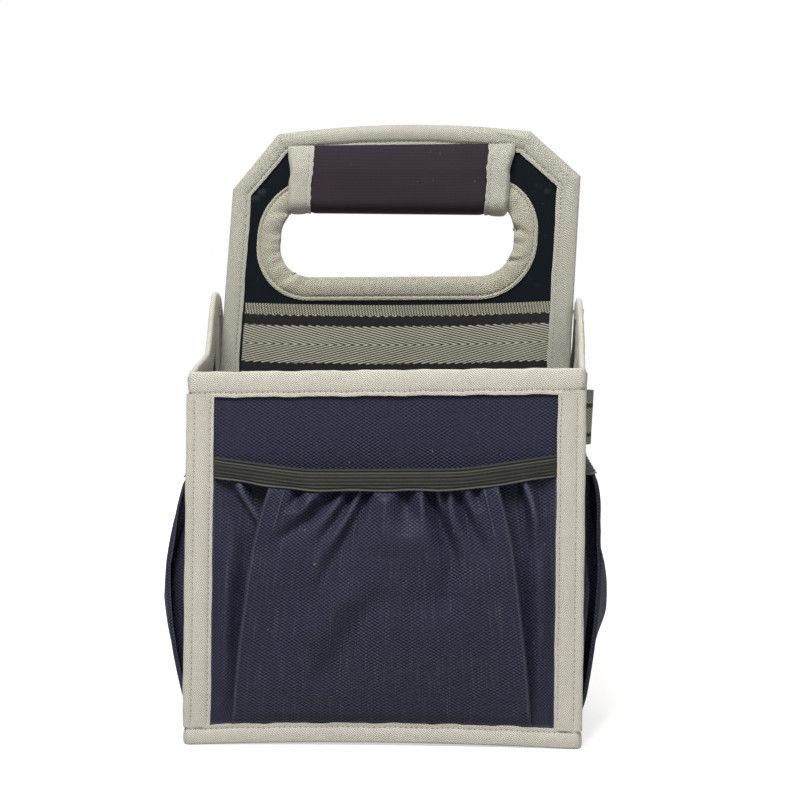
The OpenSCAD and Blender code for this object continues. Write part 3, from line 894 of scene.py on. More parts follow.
def hole_grid():
    out, down, near_seam = hole_section.T
    rings = np.stack([hole_points(d) for d in down], axis=1)
    line = hole_points(0)
    length = run_length(line)
    at_end = ease((np.abs(line[:, 0]) - 48 * mm) / (10 * mm))
    near = 1 - np.clip(down / HOLE_SEAM, 0, 1)
    ripple = np.sin(length / (1.15 * mm) + 2.1 * np.sin(length / (6 * mm)))
    raised = HOLE_RIPPLE * (ripple * at_end)[:, None] * near ** 0.7
    inward = np.zeros_like(raised)
    for x, z, size, width, lean in HOLE_TUCKS:
        centre = length[np.argmin(np.linalg.norm(line - (x * mm, z * mm), axis=1))]
        along = (length[:, None] - centre - lean * down) / (width * mm)
        ridge = np.exp(-(along * np.where(along < 0, 2.6, 1.0)) ** 2)
        dip = np.exp(-((along + 0.55) * 2.6) ** 2)
        raised += size * mm * (1.15 * ridge - dip) * near ** 0.8
        inward += size * mm * 0.35 * ridge * near ** 2
    raised -= PUCKER_DEPTH * near_seam * pucker(length)[:, None]
    y = -out - np.sign(out) * raised
    rings = rings + unit(HOLE_MIDDLE - rings) * inward[..., None]
    return np.stack([rings[..., 0], y, rings[..., 1]], axis=-1), length


grid, length = hole_grid()
grid = settle(grid, handle=True)
hole_tape = band("hand_hole_tape", grid, tape_t, shaded_hole_finish, ring=True)
sewn(hole_tape, "hand_hole_binding", slot="binding_tape",
     flat=(length[-1] * HOLE_EASE, 2 * HOLE_TAPE_WIDTH + BOARD_TAPE_FOLD), held="gathered",
     rests_on=["divider_sheet"])
stitches("hand_hole_thread", [seam_line(grid, c, ring=True) for c in seam_columns(hole_section, HOLE_SEAM)])

# ------------------------------------------------------------------ divider seams at the side walls
# A tape sewn up the middle of each side wall, which holds the divider's edge to the wall.

(_, seam_front, seam_low), (_, seam_back, seam_high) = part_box("divider_wall_tape_right")
seam_high += 3 * mm
for side, name in ((-1, "left"), (1, "right")):
    y, z = grid_of(np.linspace(seam_front, seam_back, 24), np.linspace(seam_low, seam_high, 90))
    stand_off = divider_x + 0.25 * mm + 0.3 * mm * bump(np.abs(y) - seam_back + 2 * mm, 0.8 * mm)
    grid = settle(np.stack([side * stand_off, y, z], axis=-1)[::-side])
    wall_tape = band(f"divider_seam_tape_{name}", grid, 0.6 * mm, tape)
    sewn(wall_tape, f"divider_wall_tape_{name}", slot="binding_tape", held="stretched",
         flat=(seam_back - seam_front, seam_high - seam_low), rests_on=[f"{name}_wall_cloth"])
    stitches(f"divider_seam_thread_{name}", [seam_line(grid.transpose(1, 0, 2), c) for c in (2, 21)])

# ------------------------------------------------------------------ webbing across the divider
# Wide herringbone webbing with a dark stripe near each edge, sewn across both faces below the hand hole and
# caught under the divider's binding at its ends.

KNOTTED_EDGE = 6.6


def striped_web(name, width, stripes):
    """Light warm grey webbing: ribs that slope to its middle, knotted edges, and dark stripes. Widths and
    places across it are in millimetres from its top edge."""
    finish = Finish(name, Roughness=0.78, Specular_IOR_Level=0.3)
    along, across = finish.weave_axes()
    ragged = across + along.wave(4.9) * 0.375
    dark = sum(ragged.over(low) * (1 - ragged.over(high)) for low, high in stripes)
    off_middle = (across - width / 2).size()
    rib = (along * 0.26 + off_middle * 0.97).wave(1.4) * 0.5 + 0.5
    beads = (along * 0.97 - off_middle * 0.26).wave(1.6) * 0.5 + 0.5
    twill = (along + across * 0.9).wave(0.95) * 0.5 + 0.5
    knot = ((along + across * 0.5).wave(1.75) * across.wave(2.3) + 1) * 0.5
    border = off_middle.over(width / 2 - KNOTTED_EDGE)
    body = rib.step(0.1, 0.7) * (0.92 + beads * 0.08)
    height = body * (1 - border) + knot.step(0.1, 0.8) * 0.8 * border
    grime = finish.noise(finish.place(), 30.0, 3.0)
    light = finish.mix(grime, (0.32, 0.317, 0.245), (0.43, 0.42, 0.33))
    shade = finish.mix(height, (0.015, 0.014, 0.008), light)
    black = finish.mix(twill, (0.002, 0.002, 0.002), (0.009, 0.0095, 0.0085))
    finish.set(Base_Color=finish.mix(dark, shade, black))
    finish.relief(height * (1 - dark) + twill * dark * 0.5, 0.45 * mm, 0.8)
    return finish


(_, web_face, web_low), (web_end, _, web_high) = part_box("divider_webbing_front")
web_width = web_high - web_low
web_half = web_end + 2 * mm
WEB_SAG = 2.0 * mm
WEB_DROP = 1.5 * mm
wide_web = striped_web("striped_webbing", 48.6, ((6.8, 13.0), (35.6, 41.8)))
for side, name in ((-1, "front"), (1, "back")):
    x, z = grid_of(np.linspace(-web_half, web_half, 160) * -side, np.linspace(web_low, web_high, 40))
    bow = 1 - (x / web_half) ** 2
    swell = 0.25 * mm * np.sin((z - web_low) / web_width * math.pi) + 0.12 * mm * np.sin(x / (17 * mm))
    tucked = 0.7 * mm * ease((np.abs(x) - web_end + 1.5 * mm) / (2 * mm))
    y = side * (-web_face - 0.05 * mm + swell * bow - tucked)
    grid = settle(np.stack([x, y, z - WEB_DROP - WEB_SAG * bow], axis=-1), handle=True)
    uv = np.stack([x * -side + web_half, web_high - z], axis=-1)
    web = band(f"divider_web_{name}", grid, 1.3 * mm, wide_web, uv=uv)
    sewn(web, f"divider_webbing_{name}", slot="striped_webbing", flat=(2 * web_half, web_width),
         held="stretched", rests_on=["divider_sheet"])
    stitches(f"divider_web_thread_{name}", [seam_line(grid, 37.2), seam_line(grid, 2)])

# ------------------------------------------------------------------ grip
# A foam pad wrapped in fine dark knit round the bar over the hand hole. Its ends are bound with tape, and
# its upper edges go under the divider's binding.

(_, grip_face, grip_bottom), (grip_half, _, _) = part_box("grip_cover")
grip_radius = -grip_face
GRIP_TOP = 344.5 * mm
GRIP_X = -4 * mm
GRIP_NIP = 3.0 * mm
GRIP_OVERLAP = 1.5 * mm
GRIP_SINK = 0.018


def grip_fabric():
    """Fine dark plum knit: short upright loops, matt, with a little lint."""
    finish = Finish("grip_knit", Roughness=0.88, Specular_IOR_Level=0.2, Sheen_Weight=0.25)
    finish.set(Sheen_Roughness=0.5, Sheen_Tint=(0.4, 0.33, 0.42))
    along, across = finish.weave_axes()
    wale = along.wave(0.9) * 0.5 + 0.5
    course = (across + ((along / 0.9).fraction() - 0.5).size() * 0.5).wave(0.8) * 0.5 + 0.5
    loops = wale * 0.6 + course * 0.4
    cloud = finish.noise(finish.place(), 38.0, 4.0, 0.6)
    lint = finish.noise(finish.place(), 300.0, 2.0).step(0.72, 0.8)
    ground = finish.mix(cloud, (0.007, 0.005, 0.008), (0.016, 0.009, 0.015))
    raised = finish.mix(loops, ground, (0.025, 0.017, 0.024))
    finish.set(Base_Color=finish.mix(lint * 0.5, raised, (0.12, 0.10, 0.12)))
    finish.relief(loops + cloud * 0.8, 0.2 * mm, 0.6)
    return finish


def grip_wrap(grow):
    """Section round the bar from the front top edge under the bar to the back one: (y, z) points."""
    r = grip_radius + grow
    mid = grip_bottom + grip_radius
    down = np.linspace(GRIP_TOP, mid, 24, endpoint=False)
    tuck = np.sqrt(np.clip((GRIP_TOP + 1.5 * mm - down) / (20 * mm), 0, 1))
    front = np.stack([-(GRIP_NIP + (r - GRIP_NIP) * np.minimum(1, tuck * 1.08)), down], axis=1)
    angle = np.linspace(math.pi, 2 * math.pi, 25)
    under = np.stack([r * np.cos(angle), mid + r * np.sin(angle)], axis=1)
    return np.concatenate([front, under, front[::-1] * (-1, 1)])


def grip_grid(xs, grow):
    """The wrap at each x, sunk a little more to the right."""
    columns = []
    for x, more in zip(xs, grow):
        y, z = grip_wrap(more).T
        level = (z - grip_bottom) / (GRIP_TOP - grip_bottom)
        drift = 0.35 * mm * np.sin(x / (19 * mm) + 3 * level) * np.sin(math.pi * np.clip(level, 0, 1))
        sunk = GRIP_SINK * (x + 20 * mm) * (1 - level)
        y = y * (1 + drift / grip_radius)
        columns.append(np.stack([np.full_like(z, x + GRIP_X), y, z - sunk], axis=1))
    return np.stack(columns, axis=1)


cover_half = grip_half + GRIP_OVERLAP
xs = np.linspace(-cover_half, cover_half, 110)
grid = settle(grip_grid(xs, 0.15 * mm - 1.2 * mm * bump(cover_half - np.abs(xs), 2.5 * mm)), handle=True)
cover = band("grip_wrap", grid, 2.4 * mm, grip_fabric())
sewn(cover, "grip_cover", "grip_pad", slot="grip_knit")

GRIP_SEAM = 2.4 * mm
GRIP_ROLL = 0.22
GRIP_FLARE = 2.2 * mm
GRIP_TAPE_TURN = 6 * mm
share = np.concatenate([np.linspace(0, GRIP_ROLL, 7), np.linspace(0.26, 1, 26)])
for side, name in ((-1, "left"), (1, "right")):
    outer_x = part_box(f"grip_end_tape_{name}")[0 if side < 0 else 1][0]
    inner_x = side * (grip_half - 0.1 * mm)
    width = abs(inner_x - outer_x)
    from_inner = width * (1 - share)
    between = np.clip((from_inner - GRIP_SEAM) / (width - GRIP_SEAM), 0, 1)
    grow = 0.35 * mm + 0.55 * mm * np.sin(math.pi * between)
    grow -= 0.4 * mm * bump(from_inner - GRIP_SEAM, 0.7 * mm)
    grow -= 3.2 * mm * np.clip(1 - share / GRIP_ROLL, 0, 1) ** 2.2
    grid = grip_grid(outer_x + (inner_x - outer_x) * share, grow)
    length = run_length(grid[:, -1])
    scallop = side * 0.22 * mm * np.sin(2 * math.pi * length / (1.9 * mm))
    grid[:, -2:, 0] += scallop[:, None] * (0.3, 1.0)
    flare = GRIP_FLARE * ease((grid[..., 2] - 326 * mm) / (16 * mm)) * (1 - share)
    grid[..., 0] += side * (flare + 0.5 * mm * wobble(length, 31 + side, 1.0, 25 * mm)[:, None])
    seam = nearest(from_inner, GRIP_SEAM)
    if side > 0:
        grid = grid[:, ::-1]
    else:
        seam = len(share) - 1 - seam
    grid = settle(grid, handle=True)
    # The end tapes use the divider's darker tape copy, which is painted shade.
    end_tape = band(f"grip_end_{name}", grid, tape_t, shaded_handle_tape)
    sewn(end_tape, f"grip_end_tape_{name}", slot="binding_tape", flat=(length[-1], width + GRIP_TAPE_TURN),
         held="folded", rests_on=["grip_wrap"])
    stitches(f"grip_end_thread_{name}", [seam_line(grid[:, ::-1], seam, rows=slice(4, -4))])

# ------------------------------------------------------------------ tool loop
# Striped webbing sewn flat to the right wall at its two ends, and standing off the wall between them.

(_, loop_front, loop_low), (loop_face, loop_back, loop_high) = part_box("tool_loop")
(_, _, tack_low), (_, _, tack_high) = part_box("tool_loop_bar_tacks")
LOOP_T = 1.3 * mm
LOOP_HALF = 36 * mm
TACK_HALF = 1.2 * mm
loop_out = loop_face - wall_x - 1.4 * mm
y, z = grid_of(np.linspace(loop_front, loop_back, 150), np.linspace(loop_low, loop_high, 30))
up = (z - (loop_low + loop_high) / 2) / (loop_high - loop_low)
arch = 1 - np.clip(np.abs(y) / LOOP_HALF, 0, 1) ** 2.5
x = wall_x + LOOP_T + 0.15 * mm + loop_out * arch * (1 - 0.10 * up - 0.2 * up ** 2)
grid = settle(np.stack([x, y, z], axis=-1))
narrow_web = striped_web("loop_webbing", 32, ((8.2, 10.4), (25.4, 27.6)))
loop = band("tool_loop_web", grid, LOOP_T, narrow_web, uv=np.stack([y - loop_front, loop_high - z], axis=-1))
sewn(loop, "tool_loop", slot="striped_webbing", flat=(run_length(grid[:, 15])[-1], loop_high - loop_low),
     held="stretched", rests_on=["right_wall_cloth"])
tack_lines = []
for middle in (-LOOP_HALF - 4.5 * mm, LOOP_HALF + 4.5 * mm):
    for level in np.linspace(tack_low, tack_high, 46):
        face = wall_x + LOOP_T + 0.35 * mm
        line = np.array([[face, middle - TACK_HALF, level], [face, middle + TACK_HALF, level + 0.3 * mm]])
        tack_lines.append((settle(line), np.array([[1.0, 0, 0], [1.0, 0, 0]])))
tacks = stitches("tool_loop_tacks", tack_lines, body=None, pitch=1.6 * mm, width=0.6 * mm)
sewn(tacks, "tool_loop_bar_tacks", slot="thread")

# ------------------------------------------------------------------ pockets
# One piece of the coated cloth for each pocket: a full front, and at each side a pleat that folds back under
# it and runs to the corner binding. The mouth is gathered on to a ribbed elastic band folded over its edge.

# More light slubs than the walls' copy: the pockets read lighter and the walls darker, which is painted
# shade.
pocket_cloth = coated_cloth("pocket_cloth", 0.9)
CLOTH_T = 0.9 * mm
LAYER_GAP = 0.25 * mm
PLEAT_INNER = 0.25 * mm
SEAM_GAP = 0.6 * mm
ELASTIC_WIDTH = 10.8 * mm
POCKET_MOUTH = 148 * mm
SEW_SHARE = 0.17
SEW_COLUMN = 36 * SEW_SHARE
pocket_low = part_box("front_pocket_face")[0][2] - 1.2 * mm


def elastic_band():
    """Dark olive ribbed elastic with fine cross threads, a painted highlight along its top fold and its
    lower edge, and painted shade in the groove along its seam.
    """
    finish = Finish("elastic_band", Roughness=0.7, Specular_IOR_Level=0.3, Sheen_Weight=0.1)
    along, across = finish.weave_axes()
    rib = across.wave(1.75) * 0.5 + 0.5
    thread = along.wave(0.7) * 0.5 + 0.5
    cloud = finish.noise(finish.place(), 60.0, 3.0)
    low = finish.mix(cloud, (0.006, 0.006, 0.004), (0.010, 0.010, 0.007))
    high = finish.mix(cloud, (0.015, 0.015, 0.012), (0.034, 0.033, 0.026))
    woven = finish.mix(rib * (0.75 + thread * 0.25), low, high)
    # Painted highlights along the top fold and the lower edge, and painted shade in the groove along the
    # seam.
    top_edge_highlight = across.over(ELASTIC_WIDTH / mm - 1.0) * (1 - across.over(ELASTIC_WIDTH / mm + 0.6))
    lower_edge_highlight = 1 - across.over(0.8)
    seam_groove_shade = across.over(0.9) * (1 - across.over(2.0))
    woven = finish.mix(top_edge_highlight * 0.16 + lower_edge_highlight * 0.3, woven, (0.15, 0.145, 0.12))
    finish.set(Base_Color=finish.mix(seam_groove_shade * 0.8, woven, (0.003, 0.003, 0.003)))
    finish.relief(rib * 0.8 + thread * 0.2, 0.3 * mm, 0.7)
    return finish


class Pocket:
    """The shape of one pocket on a wall: u runs along the wall, n out from it and z up."""

    HEIGHTS = (0, 0.14, 0.33, 0.55, 0.70, 0.82, 0.94, 1)
    WIDTHS = (0.875, 0.858, 0.826, 0.785, 0.752, 0.712, 0.66, 0.625)

    def __init__(self, half, bulge, closing, sag, tilt, seed, creases, side_creases):
        self.half = half
        self.bulge = bulge * mm
        self.closing = math.radians(closing)
        self.sag = sag * mm
        self.tilt = tilt * mm
        self.creases = creases
        self.side_creases = side_creases
        self.phase = np.random.default_rng(seed).uniform(0, 6.28, 4)

    def across(self, u):
        """Fullness of the pocket at a place along the wall, 1 in its middle and 0 at its seams."""
        return 1 - np.clip(np.abs(u) / self.half, 0, 1) ** 2.8

    def mouth(self, u):
        """Height of the elastic's lower edge: level in the middle, and rising straight to the seams."""
        from_bend = np.abs(u) / self.half - 0.46
        rise = 0.5 * (from_bend + np.sqrt(from_bend ** 2 + 0.06 ** 2)) / 0.54
        return POCKET_MOUTH - self.sag * (1 - np.clip(rise, 0, 1))

    def gap(self, u, t):
        """How far the front stands off the wall at a share of the pocket's height."""
        full = np.sin(self.closing * np.clip(t, 0, 1) ** 0.9) ** 0.85
        return SEAM_GAP + self.bulge * self.across(u) * full

    def creased(self, u, z, creases):
        """Height of ridges and valleys that start at the elastic, fan out and fade."""
        height = np.zeros_like(u)
        for crease in creases:
            line = np.array(crease)[::-1] * mm
            levels = (z - 3 * mm, z, z + 3 * mm)
            at, width, size = (sum(np.interp(level, line[:, 1], line[:, k]) for level in levels) / 3
                               for k in (0, 2, 3))
            gain = np.where((size < 0) & (width < 6 * mm), 2.1, 2.5)
            size = np.where(z < line[0, 1], 0, size) * gain
            height += size * np.exp(-np.abs((u - at) / width / 1.25) ** 1.8)
        return height

    def folds_of_cloth(self, u, z):
        a, b, c, _ = self.phase
        slow = np.sin(u / (23 * mm) + a) * np.sin(z / (31 * mm) + b)
        slow = slow + 0.6 * np.sin(u / (13 * mm) + c + z / (40 * mm))
        slow = 0.3 * mm * slow * np.sin(math.pi * np.clip(z / POCKET_MOUTH, 0, 1))
        return self.creased(u, z, self.creases) + slow

    def section(self, t, width):
        """A level section through the cloth from seam to seam: (place along the wall, depth below the
        front's surface, share of the way from pleat to seam)."""
        depth = 7.5 * mm * ease(t / 0.12) * (1 - 0.45 * ease((t - 0.8) / 0.2))
        layer = 2 * CLOTH_T + LAYER_GAP
        turn = layer / 2
        inside = width - depth
        front = np.linspace(0, width - turn, 120)
        angle = np.linspace(0, math.pi, 9)[1:-1]
        back = np.linspace(width - turn, inside, 9)
        inner = np.linspace(0, math.pi, 6)[1:-1]
        share = np.linspace(0, 1, 44)
        u = np.concatenate([front, width - turn + turn * np.sin(angle), back,
                            inside - PLEAT_INNER * np.sin(inner), inside + (self.half - inside) * share])
        drop = np.concatenate([np.zeros(len(front)), turn * (1 - np.cos(angle)), np.full(len(back), layer),
                               layer + PLEAT_INNER * (1 - np.cos(inner)),
                               np.full(len(share), layer + 2 * PLEAT_INNER)])
        pleat = np.concatenate([np.zeros(len(u) - len(share)), share])
        return (np.concatenate([sign * half[::-1], half[1:]])
                for sign, half in ((-1, u), (1, drop), (1, pleat)))

    def row(self, t):
        """The cloth at a share of its height, from seam to seam, as (u, n, z) points."""
        width = self.half * np.interp(t, self.HEIGHTS, self.WIDTHS)
        u, drop, pleat = self.section(t, width)
        mouth = self.mouth(u)
        z = pocket_low + (mouth + ELASTIC_WIDTH - 1.5 * mm - pocket_low) * t
        share = np.clip((z - pocket_low) / (mouth - pocket_low), 0, 1)
        below = ease((mouth - z) / (5 * mm))
        pressed = ease((z - mouth + 0.3 * mm) / (2.2 * mm))
        held = ease((z - mouth + 1.5 * mm) / (2.5 * mm))

        # The front, full in the middle, with a raised lip along each pleat.
        at = np.minimum(np.abs(u), width)
        front = self.gap(at, share) + 2.6 * mm * ease(at / width * 4 - 3) * np.sin(math.pi * share) ** 0.5
        front += 1.0 * mm * ease(share / 0.05)
        front -= self.tilt * self.across(at) * np.clip((z - mouth) / ELASTIC_WIDTH, 0, 1)
        front += 0.9 * mm * bump(at - width + 1.6 * mm, 1.3 * mm) * ease(share / 0.1) * below
        height = self.folds_of_cloth(u, z) * (1 - 0.85 * pressed)
        height = np.minimum(height, 0) + np.maximum(height, 0) * below
        under = ease((np.abs(u) - width + 12 * mm) / (10 * mm)) * (pleat > 0)
        front += height * ease(share / 0.2) * (1 - 0.85 * under)
        front = np.maximum(front - drop, SEAM_GAP)

        # The bellows, which lie back from the pleat and swell before the seam.
        swell = ease((pleat - 0.34) / 0.34) * ease((1 - pleat) / 0.4)
        side = SEAM_GAP + (front - SEAM_GAP) * (1 - pleat) ** 7
        side += 3.2 * mm * swell * np.sin(math.pi * np.clip(share * 0.94, 0, 1)) ** 0.6
        near_seam = np.clip((self.half - np.abs(u)) / (5 * mm), 0, 1)
        side += self.creased(u, z, self.side_creases) * near_seam * (1 - 0.8 * pressed)
        n = np.where(pleat > 0, np.maximum(side, SEAM_GAP * 0.9), front)
        n += held * (np.minimum(n, self.band_middle(u, z) - drop * 0.6) - n)
        return np.stack([u, n, z], axis=1)

    def cloth(self):
        return np.stack([self.row(t) for t in np.linspace(0, 1, 120)], axis=1)

    def band_middle(self, u, z):
        """How far the middle of the elastic stands off the wall at a height."""
        rise = np.clip((z - self.mouth(u)) / ELASTIC_WIDTH, 0, 1)
        return self.gap(u, 1.0) + (0.55 * mm * self.across(u) ** 0.3 - self.tilt * self.across(u) * rise)

    def elastic(self):
        """The band's surface from its outer free edge over the mouth to its inner one."""
        u = np.linspace(-self.half + 0.2 * mm, self.half - 0.2 * mm, 200)
        ribs = np.linspace(0, 1, 37)
        outer = 1.15 * mm + 0.26 * mm * np.cos(2 * math.pi * ribs * 6)
        outer -= 0.35 * mm * bump(ribs - SEW_SHARE, 0.05)
        turn = np.linspace(0, math.pi, 9)[1:-1]
        lifts = np.concatenate([ribs * ELASTIC_WIDTH, ELASTIC_WIDTH + 0.9 * mm * np.sin(turn),
                                (ribs[::-1] * ELASTIC_WIDTH)[::2]])
        outs = np.concatenate([outer, 1.15 * mm * np.cos(turn), np.full(19, -1.6 * mm)])
        folds = self.folds_of_cloth(u, self.mouth(u))
        pinch = ease((self.half - np.abs(u)) / (3 * mm))
        columns = []
        for lift, out in zip(lifts, outs):
            z = self.mouth(u) + lift
            n = self.band_middle(u, z) + folds * (0.09 - 0.08 * lift / ELASTIC_WIDTH)
            n += out * (0.35 + 0.65 * pinch) * (1 if out > 0 else pinch)
            if out > 0:
                n += 0.35 * mm * np.sin(u / (3.7 * mm) + self.phase[0]) * np.exp(-lift / (2 * mm))
            z += 0.25 * mm * np.sin(u / (5.1 * mm) + self.phase[1]) * (lift < 2 * mm)
            columns.append(np.stack([u, np.maximum(n, 0.3 * mm), z], axis=1))
        return np.stack(columns, axis=1)


# Each crease runs down the cloth as (place across, height, width, rise), in millimetres.
FRONT_CREASES = (
    ((-45, 146, 2.4, -2.4), (-47, 137, 2.4, -2.4), (-51, 130, 3.0, 0)),
    ((-25, 146, 3.2, -2.6), (-29, 137, 4.2, -3.6), (-43, 124, 5.0, -2.8), (-56, 113, 5.5, -1.2),
     (-60, 100, 7, 0)),
    ((-16, 146, 2.2, -2.6), (-18, 137, 2.6, -3.4), (-26, 124, 3.0, -2.6), (-33, 114, 3.4, -1.0),
     (-38, 104, 4, 0)),
    ((-7, 146, 2.0, -2.4), (-9, 137, 2.6, -3.2), (-17, 120, 3.4, -3.0), (-26, 104, 4.2, -2.4),
     (-35, 82, 5.2, -1.0), (-40, 66, 6, 0)),
    ((12, 146, 3.0, -2.2), (12, 136, 3.8, -3.0), (13, 127, 4.4, -1.8), (14, 118, 4.6, 0)),
    ((24, 146, 2.2, -2.8), (25.5, 136, 3.0, -4.2), (32, 121, 3.8, -4.4), (38, 105, 4.6, -2.8),
     (37, 84, 6.0, -1.2), (36, 68, 8, 0)),
    ((33, 146, 1.6, -2.0), (33.5, 137, 1.9, -2.6), (33, 124, 2.4, 0)),
    ((39, 146, 2.0, -2.4), (41, 136, 2.6, -3.2), (47, 122, 3.4, -3.0), (53, 110, 4.2, -1.6), (58, 98, 5, 0)),
    ((50, 146, 1.8, -1.8), (50.5, 137, 2.0, -1.8), (53, 130, 2.4, 0)),
    ((1.5, 146, 3.4, 0.8), (1.5, 136, 4.0, 1.6), (3, 118, 5.2, 1.4), (4, 106, 7, 0)),
    ((21, 146, 1.8, 0.8), (22, 134, 2.4, 1.4), (23, 124, 3, 0)),
    ((-36, 146, 2.0, 0.6), (-40, 134, 3.0, 1.2), (-48, 120, 4, 0)),
    ((16, 128, 7, 0), (16, 114, 8, 1.5), (16, 98, 9, 0)),
    ((-14, 96, 8, 0), (-20, 82, 9, 1.1), (-40, 58, 10, 0.9), (-48, 40, 11, 0)),
    ((0, 92, 8, 0), (-4, 80, 8, -1.3), (-28, 42, 9, -1.0), (-36, 26, 9, 0)),
    ((-48, 108, 8, 0), (-50, 86, 9, -1.3), (-54, 56, 9, -1.1), (-56, 40, 9, 0)),
    ((19, 94, 7, 0), (20, 80, 7, -0.9), (20, 66, 7, 0)),
    ((33, 100, 6, 0), (34, 86, 6, -0.8), (34, 72, 6, 0)),
    ((-53.5, 142, 0.6, 0.4), (-58, 124, 0.6, 0.4), (-60, 118, 0.6, 0)),
    ((54.5, 142, 0.6, 0.4), (60, 120, 0.6, 0.4), (61, 114, 0.6, 0)),
)
FRONT_SIDE_CREASES = (
    ((-91, 150, 3.0, -2.0), (-86, 140, 3.6, -3.0), (-77, 125, 4.4, -3.4), (-71, 112, 5, -1.6),
     (-68, 100, 6, 0)),
    ((-80, 150, 2.4, 1.0), (-78, 141, 3.0, 2.4), (-70, 126, 3.6, 1.6), (-66, 112, 4, 0)),
    ((-69, 150, 3.2, -2.4), (-66, 139, 4.0, -4.0), (-63, 128, 5, 0)),
    ((-86, 116, 5, 0), (-86, 96, 6, 1.4), (-87, 60, 6, 0.8), (-88, 30, 6, 0)),
    ((66, 150, 3.4, -3.4), (70, 136, 4.0, -4.6), (73, 122, 4.0, -2.6), (75, 106, 4, 0)),
    ((74, 150, 2.6, 1.6), (78, 140, 3.0, 2.2), (82, 128, 3.4, 1.6), (84, 110, 4, 0)),
    ((84, 150, 2.4, -1.6), (86, 140, 2.8, -1.8), (89, 128, 3, 0)),
    ((86, 116, 5, 0), (86, 96, 6, 1.6), (87, 60, 6, 0.8), (88, 30, 6, 0)),
)


def made_creases(seed, half, count):
    """Valleys between gathers, spread over a pocket's front as they fall."""
    local = np.random.default_rng(seed)
    creases = []
    for at in np.linspace(-0.56 * half, 0.56 * half, count) / mm + local.uniform(-2.4, 2.4, count):
        deep = local.uniform(2.2, 4.2)
        length = local.uniform(18, 62)
        width = local.uniform(2.0, 3.0)
        fan = 0.3 * at / (half / mm) + local.uniform(-0.08, 0.08)
        creases.append(((at, 146, width, -0.7 * deep), (at + fan * 4, 137, width * 1.2, -deep),
                        (at + fan * 0.45 * length, 137 - 0.45 * length, width * 1.5, -0.7 * deep),
                        (at + fan * length, 137 - length, width * 2.2, 0)))
    for _ in range(5):
        at = local.uniform(-0.5, 0.5) * half / mm
        high = local.uniform(70, 112)
        lean = local.uniform(-14, 14)
        size = local.uniform(-1.3, 1.3)
        creases.append(((at, high, 8, 0), (at + lean * 0.4, high - 14, 9, size),
                        (at + lean, high - 38, 10, 0)))
    return tuple(creases)


def made_side_creases(seed, half):
    """Two valleys under the elastic and a long low ridge, on each side of a pocket's front."""
    local = np.random.default_rng(seed)
    creases = []
    for edge in (-half / mm, half / mm):
        deep = local.uniform(2.0, 3.4)
        for points in (((0.95, 150, 3, -0.6 * deep), (0.88, 138, 3.6, -deep), (0.78, 118, 5, 0)),
                       ((0.72, 150, 3, -deep), (0.70, 136, 4, -deep), (0.76, 116, 4, 0)),
                       ((0.9, 112, 5, 0), (0.9, 84, 6, 1.2), (0.92, 40, 6, 0))):
            creases.append(tuple((edge * at, *rest) for at, *rest in points))
    return tuple(creases)


front_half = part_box("front_pocket_elastic")[1][0] + 0.5 * mm
side_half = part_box("right_pocket_elastic")[1][1] + 0.5 * mm
RIGHT_WAIST = (((0, 126, 34, 0), (0, 108, 38, -1.3), (0, 96, 38, 0)),
               ((0, 146, 30, 0), (0, 135, 30, 1.2), (0, 122, 34, 0)))

# Each wall's outward direction and its distance from the middle, then its pocket: half width, fullness in
# millimetres, closing of the front in degrees, sag and tilt of the elastic in millimetres, and its folds.
pockets = {
    "front": ((0, -1, 0), wall_y, Pocket(front_half, 14.5, 142, 7, 1.5, 41, FRONT_CREASES,
                                         FRONT_SIDE_CREASES)),
    "back": ((0, 1, 0), wall_y, Pocket(front_half, 14.5, 142, 7, 1.5, 43, made_creases(51, front_half, 9),
                                       made_side_creases(61, front_half))),
    "left": ((-1, 0, 0), wall_x, Pocket(side_half, 25.5, 157, 2, 6.5, 44, made_creases(53, side_half, 7),
                                        made_side_creases(63, side_half))),
    "right": ((1, 0, 0), wall_x, Pocket(side_half, 17.5, 143, 1, 7, 45,
                                        made_creases(55, side_half, 7) + RIGHT_WAIST,
                                        made_side_creases(65, side_half))),
}
elastic_finish = elastic_band()
dark_thread = Finish("dark_thread", Base_Color=(0.004, 0.004, 0.004), Roughness=0.6)
TURNED_FROM = 2.2 * mm
TURNED_TO = 9.0 * mm


def on_wall(points, outward, face):
    """Sets a pocket's (u, n, z) on its wall, u to the right as seen from outside, and settles it."""
    u, n, z = points[..., :1], points[..., 1:2], points[..., 2:]
    return settle(u * np.cross((0, 0, 1), outward) + (face + n) * outward + z * (0, 0, 1))


def hinged(piece, outward, face):
    """Bakes the piece's place into its mesh."""
    tuple(outward * (face + TURNED_FROM))
    tuple(outward * (face + TURNED_TO))
    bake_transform(piece)


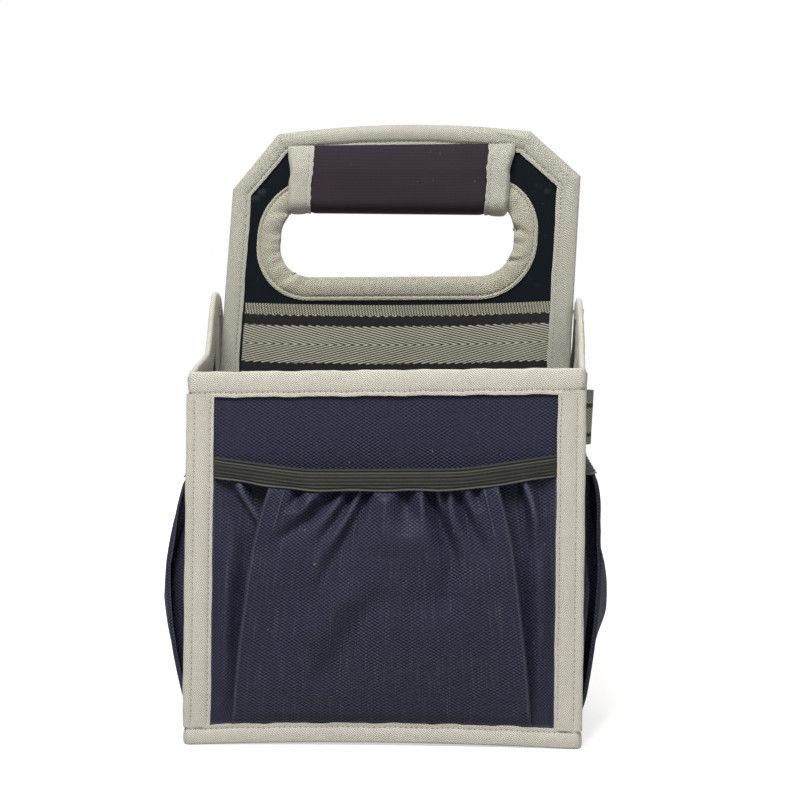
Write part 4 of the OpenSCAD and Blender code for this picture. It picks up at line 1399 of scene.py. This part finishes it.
for wall, (outward, face, pocket) in pockets.items():
    outward = np.array(outward)
    sheet = pocket.cloth()
    across = np.broadcast_to(run_length(sheet[:, 60])[:, None], sheet.shape[:2])
    piece = band(f"{wall}_pocket_cloth", on_wall(sheet, outward, face), CLOTH_T, pocket_cloth,
                 uv=np.stack([across, sheet[..., 2]], axis=-1))
    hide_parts(f"{wall}_pocket_face", f"{wall}_pocket_bellows")
    hinged(piece, outward, face)

    grid = on_wall(pocket.elastic(), outward, face)
    elastic = band(f"{wall}_pocket_band", grid, 0.7 * mm, elastic_finish)
    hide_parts(f"{wall}_pocket_elastic")
    hinged(elastic, outward, face)
    sewing = stitches(f"{wall}_pocket_thread", [seam_line(grid, SEW_COLUMN, rows=slice(3, -3))], body=None,
                      pitch=2.6 * mm, finish=dark_thread)
    hinged(sewing, outward, face)

# ------------------------------------------------------------------ floor and light
# A plain pale floor that runs out of sight, a white surround, and four soft lights.

FLOOR_HALF = 4.0
SURROUND_LIGHT = 0.05
mesh = bpy.data.meshes.new("floor")
mesh.from_pydata([(-FLOOR_HALF, -FLOOR_HALF, 0), (FLOOR_HALF, -FLOOR_HALF, 0), (FLOOR_HALF, FLOOR_HALF, 0),
                  (-FLOOR_HALF, FLOOR_HALF, 0)], [], [(0, 1, 2, 3)])
floor = bpy.data.objects.new("floor", mesh)
bpy.context.collection.objects.link(floor)
paper = Finish("floor_paper", Base_Color=(0.5, 0.497, 0.49), Roughness=0.9, Emission_Strength=1.0)
away = paper.node("ShaderNodeVectorMath", {"operation": "LENGTH"}, {0: paper.place()}, 1)
glow = paper.mix(away.step(0.25, 1.6), (0.60, 0.597, 0.59), (1, 1, 0.995))
paper.set(Emission_Color=paper.mix(paper.node("ShaderNodeLightPath"), (0, 0, 0), glow))
floor.data.materials.append(paper.material)

world = bpy.data.worlds.new("surround")
bpy.context.scene.world = world
surround = Finish("surround", world, "Background", Color=(1, 1, 1))
seen = surround.node("ShaderNodeLightPath")
brightness = {0: seen, 2: SURROUND_LIGHT, 3: 1.0}
surround.set(Strength=surround.node("ShaderNodeMix", {"data_type": "FLOAT"}, brightness))

for name, place, wide, tall, power in (("key", (-0.4, -1.05, 1.65), 0.8, 0.6, 52),
                                       ("fill", (1.2, -1.1, 1.2), 0.8, 0.8, 12),
                                       ("top", (0.1, 0.1, 1.9), 1.0, 1.0, 6),
                                       ("back", (0.3, 1.7, 1.3), 1.6, 1.2, 24)):
    light = bpy.data.lights.new(name, "AREA")
    light.shape = "RECTANGLE"
    light.size = wide
    light.size_y = tall
    light.energy = power
    lamp = bpy.data.objects.new(name, light)
    lamp.location = place
    x, y, z = np.array(place) - (0, 0, 0.18)
    lamp.rotation_euler = (math.atan2(math.hypot(x, y), z), 0, math.atan2(x, -y))
    bpy.context.collection.objects.link(lamp)
